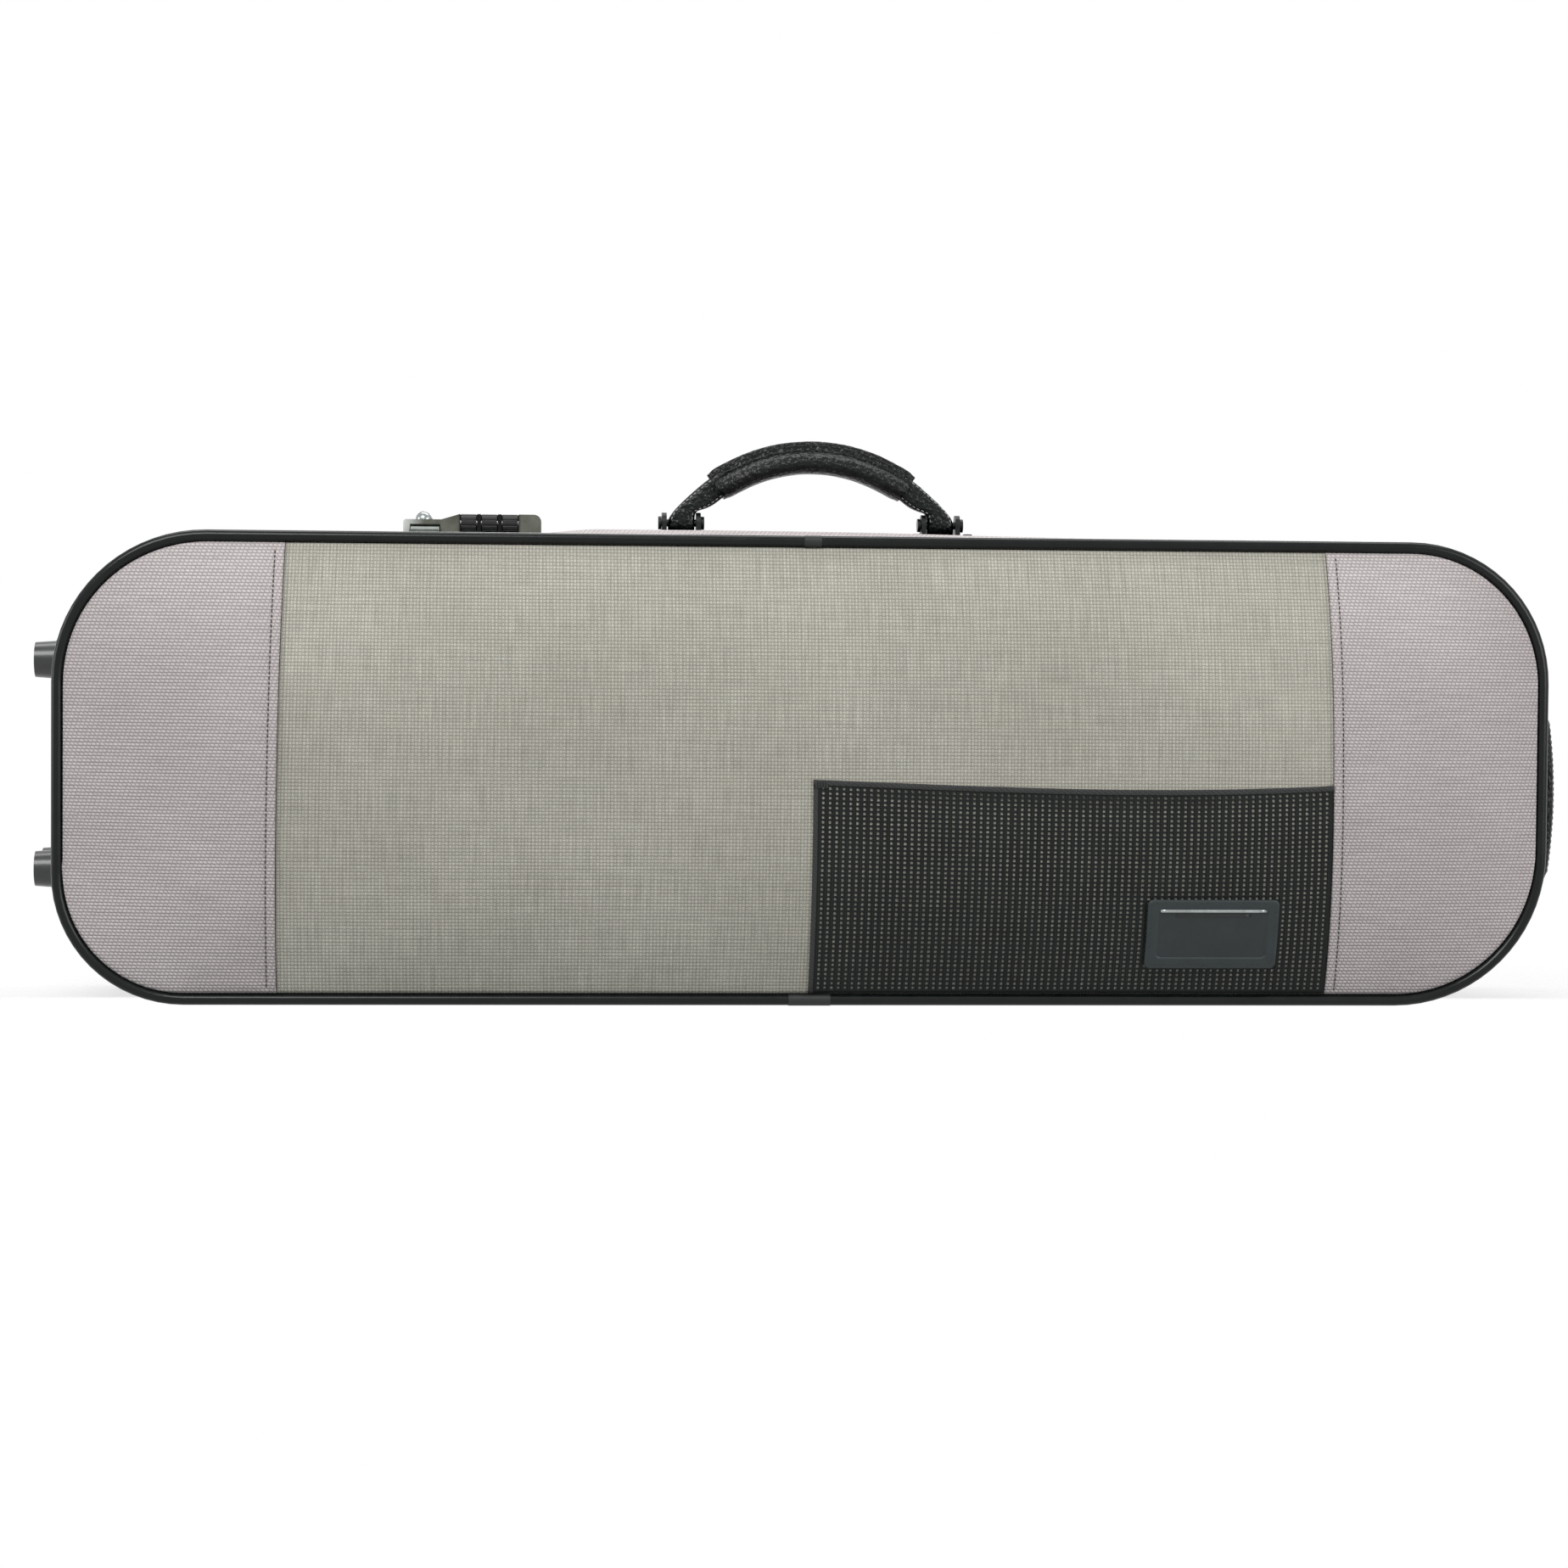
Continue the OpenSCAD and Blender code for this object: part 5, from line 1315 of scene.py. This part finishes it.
def strap_leg(name, side, stands):
    """A rolled leather leg: down the arc, past the bracket's inner ear, then round the pivot pin."""
    stations = []
    for angle in spaced(33.0, 40.5, 1.5):
        ends = [polar(STRAP_R + half, angle) for half in (STRAP_W / 2, -STRAP_W / 2)]
        stations.append([Vector((across, HANDLE_Y + up)) for up, across in ends] + [STRAP_T / 2])
    pin = Vector((PIVOT_OUT, CASE_H + PIVOT_RISE))
    for a, b, c, d, deep in LEG_BEND + LEG_EYE:
        stations.append([pin + Vector((a, b)), pin + Vector((c, d)), deep])

    def at(outer, inner, share, depth):
        x, y = outer.lerp(inner, (1 - share) / 2)
        return world(HANDLE_X + side * x, y, -HANDLE_BACK - depth)

    form, n = Form(), 32
    for (outer, inner, deep), run in zip(stations, travelled([outer for outer, *_ in stations])):
        for j, (c, s) in enumerate(around(n)):
            depth = deep * squared(s, LEG_ROUND_DEEP)
            form.add(at(outer, inner, squared(c, LEG_ROUND), depth), run, j * 1.2)
    obj = form.build(name, tube_faces(len(stations), n), LEATHER, "handle", "handle_strap", stands)
    modify(obj, "SUBSURF", levels=1, render_levels=1)
    apply_all(obj)
    lift = (1 - LEG_STITCH ** (2 / LEG_ROUND)) ** (LEG_ROUND_DEEP / 2)
    runs = [[(at(outer, inner, share, front * deep * lift), BACK * front)
             for outer, inner, deep in stations[2:-5]]
            for front in (-1, 1) for share in (-LEG_STITCH, LEG_STITCH)]
    stitching(name + "_stitches", runs, 2.6, 1.8, 0.28, THREAD_LIGHT, "handle", "handle_strap")


grip_sleeve()
strap_leg("strap_leg_left", -1, True)
strap_leg("strap_leg_right", 1, False)


# ---- end handle ----


def bow_x(inside, y):
    return END_X + math.sqrt((END_R - inside) ** 2 - y * y)


def end_handle():
    """Webbing bowed off the case's end, through a sewn leather pad."""
    leg = [(HALF + out, -END_HALF - down) for out, down in ((1.2, 16.5), (1.9, 13.2), (4.2, 9.6), (8.4, 4.2))]
    path = leg + [(bow_x(PAD_T / 2, y), y) for y in spaced(1 - END_HALF, END_HALF - 1, 4.0)]
    path += [(x, -y) for x, y in reversed(leg)]
    run = along_path([world(x, END_Y + y, -END_BACK) for x, y in path], BACK)
    ribbon("end_webbing", run, WEB_W, WEB_T - 0.3, WEBBING, "base", "end_handle_strap", puff=0.15)
    form, stations, n = Form(), spaced(-44.6, 44.6, 1.8), 36
    for y in stations:
        end = smooth((abs(y) - 41.0) / 3.4)
        swell = 1 - 0.30 * end + 0.03 * ripple(y, 0, 0, 12.0, 2.0)
        for j, (c, s) in enumerate(around(n)):
            x = bow_x(PAD_T / 2 - PAD_T / 2 * squared(c, 0.75) * swell, y)
            out = PAD_HALF * squared(s, 0.6) * (1 - 0.05 * end)
            form.add(world(x, END_Y + y, -END_BACK - out), y, j * 1.3)
    pad = form.build("end_pad", tube_faces(len(stations), n), LEATHER, "base", "end_handle_pad")
    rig.padded(pad, fill=0.9)
    runs = [[(world(bow_x(PAD_T / 2 - 3.34, y), END_Y + y, -END_BACK - d), RIGHT)
             for y in spaced(-42, 42, 3.0)] for d in (-11.4, 11.4)]
    stitching("end_pad_stitches", runs, 3.2, 2.3, 0.3, THREAD_BLACK, "base", "end_handle_pad")


def ring_tab(name, side, stands):
    """A leather tab that lies on the back and wraps the ring's bar."""
    z, bar, r = Z_BACK - GAP - 1.0, Z_BACK - GAP - 3.6, 2.85
    points = [(21.8, z + 0.2), (21, z), (16, z), (10, z), (5, z)]
    points += [(-s, bar + c) for c, s in (polar(r, 22.5 * i) for i in range(9))]
    points += [(4.5, bar - r + 0.6), (9, z - 1.3), (14, z - 1.25)]
    run = along_path([world(side * RING_X, RING_Y + y, level) for y, level in points], RIGHT)
    ribbon(name, run, 19.6, 1.2, LEATHER, "base", "ring_tabs", stands)


end_handle()
ring_tab("ring_tab_left", -1, True)
ring_tab("ring_tab_right", 1, False)


# ---- lining and padding inside ----


def inner_shape(x, y, z, nx, ny, k):
    wobble = 0.12 * ripple(x, y, z, 40.0, 8.0)
    return x + nx * wobble, y + ny * wobble, z + 0.1 * ripple(x, y, 1.0, 35.0, 6.0)


def tongue_shape(x, y, z, nx, ny, k):
    lean = 0.1 * ripple(x, y, 0, 26.0, 3.0) * smooth((z - 8) / 12)
    return x + nx * lean, y + ny * lean, z + (0.15 * ripple(x, y, 2, 30.0, 1.0) if z > 20 else 0.0)


def lid_ceiling(rows=56):
    """The lid's velour over thin padding."""
    inset, form = LINING_IN + 3.0, Form()
    xs = spaced(-HALF + inset + 0.2, HALF - inset - 0.2, 5.0)
    for x in xs:
        a, b = edges(inset, x)
        for j in range(rows + 1):
            t = 0.5 - 0.5 * math.cos(math.pi * j / rows)
            y = a + (b - a) * t
            quilt = 0.21 * (1 + ripple(x, y, 0, 70.0, 12.0)) * smooth(min(t, 1 - t) * 20)
            form.add(world(x, y, CEILING + arch(x, y) + quilt), x, y)
    obj = form.build("lid_ceiling", grid_faces(len(xs), rows + 1), VELOUR, "lid", "lid_lining", out=False)
    grid_sheet(obj, rows + 1, "lid_frame", 1.2)


def linings():
    """The tray's velour, the tongue that stands up round the rim, and the lid's velour."""
    tray = [(LINING_OUT + 0.1, 4.2), (LINING_OUT + 0.4, 4.6), (LINING_IN - 0.4, 4.6), (LINING_IN, 4.2)]
    tray += [(LINING_IN, z) for z in (0, -6, -13, -20, -27, -34, -41)]
    tray += arc(LINING_IN + 5, FLOOR + 5, 5, 180, 270, 6)
    tray += [(inset, FLOOR) for inset in (18, 24, 32, 42, 54, 64)]
    swept("tray_lining", tray, inner_shape, VELOUR, "base", "base_lining", cap=True, out=False)
    up = [(0.15, 5.2), (0.15, 12), (0.15, 18.5), (0.15, 23.6), (0.35, 24.7)]
    tongue = [(LINING_OUT + d, z) for d, z in up + [(0.8, 24.95)] + [(1.6 - d, z) for d, z in reversed(up)]]
    swept("rim_tongue", tongue, tongue_shape, RIBBON, "base", "valance", closed=True)
    lid_ceiling()
    band = [(LINING_OUT + 0.2, 26.3), (LINING_OUT + 0.9, 26.05), (LINING_IN - 0.3, 26.2), (LINING_IN, 26.9)]
    band += [(LINING_IN, z) for z in (31, 36, 41, 45, 48)]
    band += [(LINING_IN - 0.3, 48.6), (LINING_OUT + 0.3, 48.8)]
    swept("lid_side_lining", band, inner_shape, VELOUR, "lid", "lid_lining", stands=False, out=False)


def recess_cord():
    """A twisted cord sewn round the edge of the violin's recess, open at the neck."""
    level, radius, groove, twist, n = -2.6, 1.5, 0.13, 1.6, 12
    (low_x, low_r), (high_x, high_r) = LOWER_BOUT, UPPER_BOUT
    low_a, high_a, neck_a = [math.degrees(math.asin(half / r)) for half, r in
                             ((WAIST_HALF, low_r), (WAIST_HALF, high_r), (NECK_HALF, high_r))]
    path = []
    for x, r, angles in ((high_x, high_r, spaced(neck_a, 180 - high_a, 2.0)),
                         (low_x, low_r, spaced(low_a, 180, 1.6))):
        path += [(x + c, s) for c, s in (polar(r, a) for a in angles)]
    path = dense(path + [(x, -y) for x, y in reversed(path[:-1])], 2.5)
    form, runs = Form(), travelled(path)
    for k, (x, y) in enumerate(path):
        (x0, y0), (x1, y1) = path[max(0, k - 1)], path[min(len(path) - 1, k + 1)]
        size = math.hypot(x1 - x0, y1 - y0)
        for j in range(n):
            lobe = radius * (1 + groove * math.cos(6 * math.pi * j / n - runs[k] * twist))
            c, s = polar(lobe, 360 * j / n)
            co = world(x + (y1 - y0) / size * c, CASE_H / 2 + y + (x0 - x1) / size * c, level + s)
            form.add(co, runs[k], j * 0.8)
    form.build("recess_cord", tube_faces(len(path), n), RIBBON, "base", "violin_bed", stands=False)


def neck_strap():
    """The band over the violin's neck, with a sewn box at each end."""
    low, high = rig.box("neck_strap")
    x, y0, y1 = (low[0] + high[0]) / 2 / MM, low[2] / MM, high[2] / MM
    level = (-high[1] - low[1]) / 2 / MM

    def at(u, y, rise):
        dip = 0.5 * math.sin(math.pi * (y - y0) / (y1 - y0))
        return world(x + u, y, level + rise - dip), -BACK

    run = [(*at(0, y, 0), RIGHT) for y in spaced(y0 + 0.2, y1 - 0.2, 2.0)]
    ribbon("neck_band", run, 23.6, 1.3, RIBBON, "base", "neck_strap", puff=0.25)
    box = dense([(-9.5, 0), (9.5, 0), (9.5, 6), (-9.5, 6), (-9.5, 0)], 1.55)[:-1]
    runs = [[at(u, start + v, 0.75) for u, v in box] for start in (y0 + 1.2, y1 - 7.2)]
    stitching("neck_band_stitches", runs, 2.2, 1.5, 0.22, THREAD_LIGHT, "base", "neck_strap")


linings()
soften("bed_velour", "violin_bed", 3.0, 3, VELOUR, "base", 0.25)
soften("box_wall_velour", "box_walls", 1.5, 2, VELOUR, "base", 0.06)
soften("tip_loops", "bow_tip_loops", 0.9, 2, RIBBON, "lid", 0.05)
for name in ("upper_box_lid", "lower_box_lid"):
    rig.padded(soften(name + "_velour", name, 1.4, 3, VELOUR, name, 0.12), fill=0.95)
recess_cord()
puffed("suspension_pad_velour", "suspension_pads", 4.0, 1.6, 0.8, 0.8)
puffed("cradle_velour", "neck_cradle", 3.0, 1.2, 0.6, 0.9)
neck_strap()


# ---- light and ground ----

# Place, target, width and height in metres, and power in watts
LIGHTS = {
    "key": ((-0.9, -1.9, 1.9), (0, 0, 0.12), (1.5, 1.0), 43.0),
    "fill": ((1.6, -1.6, 0.7), (0, 0, 0.12), (1.2, 1.2), 18.0),
    "side": ((-1.9, -0.3, 0.5), (-0.38, -0.04, 0.13), (0.3, 0.9), 7.0),
    "top": ((0.1, 0.3, 2.2), (0, 0, 0.1), (2.4, 0.7), 25.0),
    "back": ((0.6, 2.2, 1.2), (0, 0, 0.12), (1.8, 1.2), 18.0),
}


def add_light(name, at, towards, size, power):
    data = bpy.data.lights.new(name, "AREA")
    data.shape = "RECTANGLE"
    data.size, data.size_y = size
    data.energy = power
    turn = (Vector(at) - Vector(towards)).to_track_quat("Z", "Y").to_matrix()
    linked(name, data).matrix_world = Matrix.Translation(at) @ turn.to_4x4()


def add_world():
    """Soft light from everywhere, seen as plain white."""
    studio = bpy.data.worlds.new("studio")
    scene.world = studio
    studio.use_nodes = True
    tree = studio.node_tree
    tree.nodes.clear()
    rays = add_node(tree, "LightPath").outputs
    seen = rays["Is Camera Ray"]
    for ray in ("Is Glossy Ray", "Is Transmission Ray"):
        seen = add_node(tree, "Math", {0: seen, 1: rays[ray]}, operation="MAXIMUM").outputs[0]
    soft = add_node(tree, "Background", {0: (0.93, 0.96, 1.0, 1), 1: 0.32}).outputs[0]
    white = add_node(tree, "Background", {0: (1, 1, 1, 1), 1: 1.0}).outputs[0]
    mix = add_node(tree, "MixShader", {0: seen, 1: soft, 2: white}).outputs[0]
    add_node(tree, "OutputWorld", {0: mix})


FLOOR_RINGS, FLOOR_Z = (0.001, 0.3, 0.6, 0.9), -0.0004
# Where the floor begins to fade and has gone: away from the case, and in front of its hinges
FADE_FROM, FADE_TO, FADE_LEAST = 0.34, 0.8, 0.65
FRONT_FROM, FRONT_TO = 0.02, -0.018


def add_floor():
    """A pale round floor that fades out away from the case, and in front of its hinges for the open lid."""
    n = 96
    mesh = bpy.data.meshes.new("floor")
    verts = [(x, y, FLOOR_Z) for r in FLOOR_RINGS for x, y in around(n, r)]
    mesh.from_pydata(verts, [], grid_faces(len(FLOOR_RINGS), n, wrap=True))
    s = Shader("floor_paint", 0.8, Base_Color=(0.84, 0.84, 0.84, 1))
    far = s.out("VectorMath", {0: s.place(scale=(1, 3, 1))}, "Value", operation="LENGTH")
    far = s.out("MapRange", {0: far, 1: FADE_FROM, 2: FADE_TO, 3: FADE_LEAST, 4: 1.0})
    front = s.between(s.split(s.place())[1], FRONT_FROM, FRONT_TO)
    clear = s.out("BsdfTransparent")
    paint = s.out("MixShader", {0: far.op("MAXIMUM", front), 1: s.bsdf.outputs[0], 2: clear})
    s.tree.links.new(paint.socket, s.tree.nodes["Material Output"].inputs[0])
    mesh.materials.append(s.mat)
    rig.stage(linked("floor", mesh))


for name, light in LIGHTS.items():
    add_light(name, *light)
add_world()
add_floor()
scene.view_settings.view_transform = "Standard"


# ---- where each image point shows ----


SEEN_WITHIN, NEAR_LINE = 0.0008, 8


def shown(name, keep=lambda co: True):
    """Image places of the piece's finished vertices that the camera sees."""
    graph = bpy.context.evaluated_depsgraph_get()
    eye = camera.matrix_world.translation
    obj = bpy.data.objects.get(name) or nodes[name]
    cos = [co for co in (obj.matrix_world @ v.co for v in obj.data.vertices) if keep(co)]
    out = []
    for co in cos[::max(1, len(cos) // 500)]:
        ray = co - eye
        hit, at, *_ = scene.ray_cast(graph, eye, ray.normalized())
        if hit and (at - eye).length > ray.length - SEEN_WITHIN:
            out.append(image_place(co))
    return out


def middle(places):
    xs, ys = zip(*places)
    return (min(xs) + max(xs)) / 2, (min(ys) + max(ys)) / 2


def line_near(places, axis, at, pick):
    """The place on a piece's edge at one coordinate of the image."""
    near = [p for p in places if abs(p[axis] - at) < NEAR_LINE]
    return pick(near, key=lambda p: p[1 - axis])


def measured_points():
    """Where each named point's thing shows in the finished scene."""
    xs, ys = zip(*[image_place(obj.matrix_world @ v.co) for obj in scene.objects
                   if obj.type == "MESH" and not obj.hide_render and "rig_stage" not in obj
                   for v in obj.data.vertices])
    out = {"left": (min(xs), None), "right": (max(xs), None),
           "top": (None, min(ys)), "bottom": (None, max(ys))}
    for side, seam, pick in (("left", SEAM_L, max), ("right", SEAM_R, min)):
        cloth = shown(f"lid_{side}_cloth", lambda co: abs(co.x / MM - seam) < 7)
        for name, (_, y) in POINTS.items():
            if name.startswith("seam_" + side):
                out[name] = (line_near(cloth, 1, y, pick)[0], y)
    band = shown("pocket_band")
    first, sag, last = min(p[0] for p in band), POINTS["pocket_sag"][0], max(p[0] for p in band)
    for name, x, near in (("corner", first, first + 4), ("sag", sag, sag), ("end", last, last - 4)):
        out["pocket_" + name] = (x, line_near(band, 0, near, min)[1])
    for name, thing in (("badge", "badge_border"), ("badge_bar", "badge_bar"), ("grip", "grip_sleeve"),
                        ("lock_knob", "lock_knob")):
        out[name] = middle(shown(thing))
    for name in ("upper", "lower"):
        node = "foot_front_" + name
        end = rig.box(node)[0][0] + 0.0015
        places = shown(node, lambda co: co.x < end)
        out[name + "_foot"] = (min(p[0] for p in places), middle(places)[1])
    return out


def write_points():
    """How far each image point's thing shows from its place in the photograph."""
    rows = {}
    try:
        for name, seen in measured_points().items():
            rows[name] = [None if a is None else round(b - a, 1) for a, b in zip(POINTS[name], seen)]
    except (ValueError, KeyError) as error:
        rows["error"] = str(error)
    with open("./points.json", "w") as file:
        json.dump(rows, file, indent=1)


write_points()
visual_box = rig.bounds()
with open("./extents.json", "w") as file:
    json.dump({"cad": [list(c) for c in cad_box], "visual": [list(c) for c in visual_box]}, file)
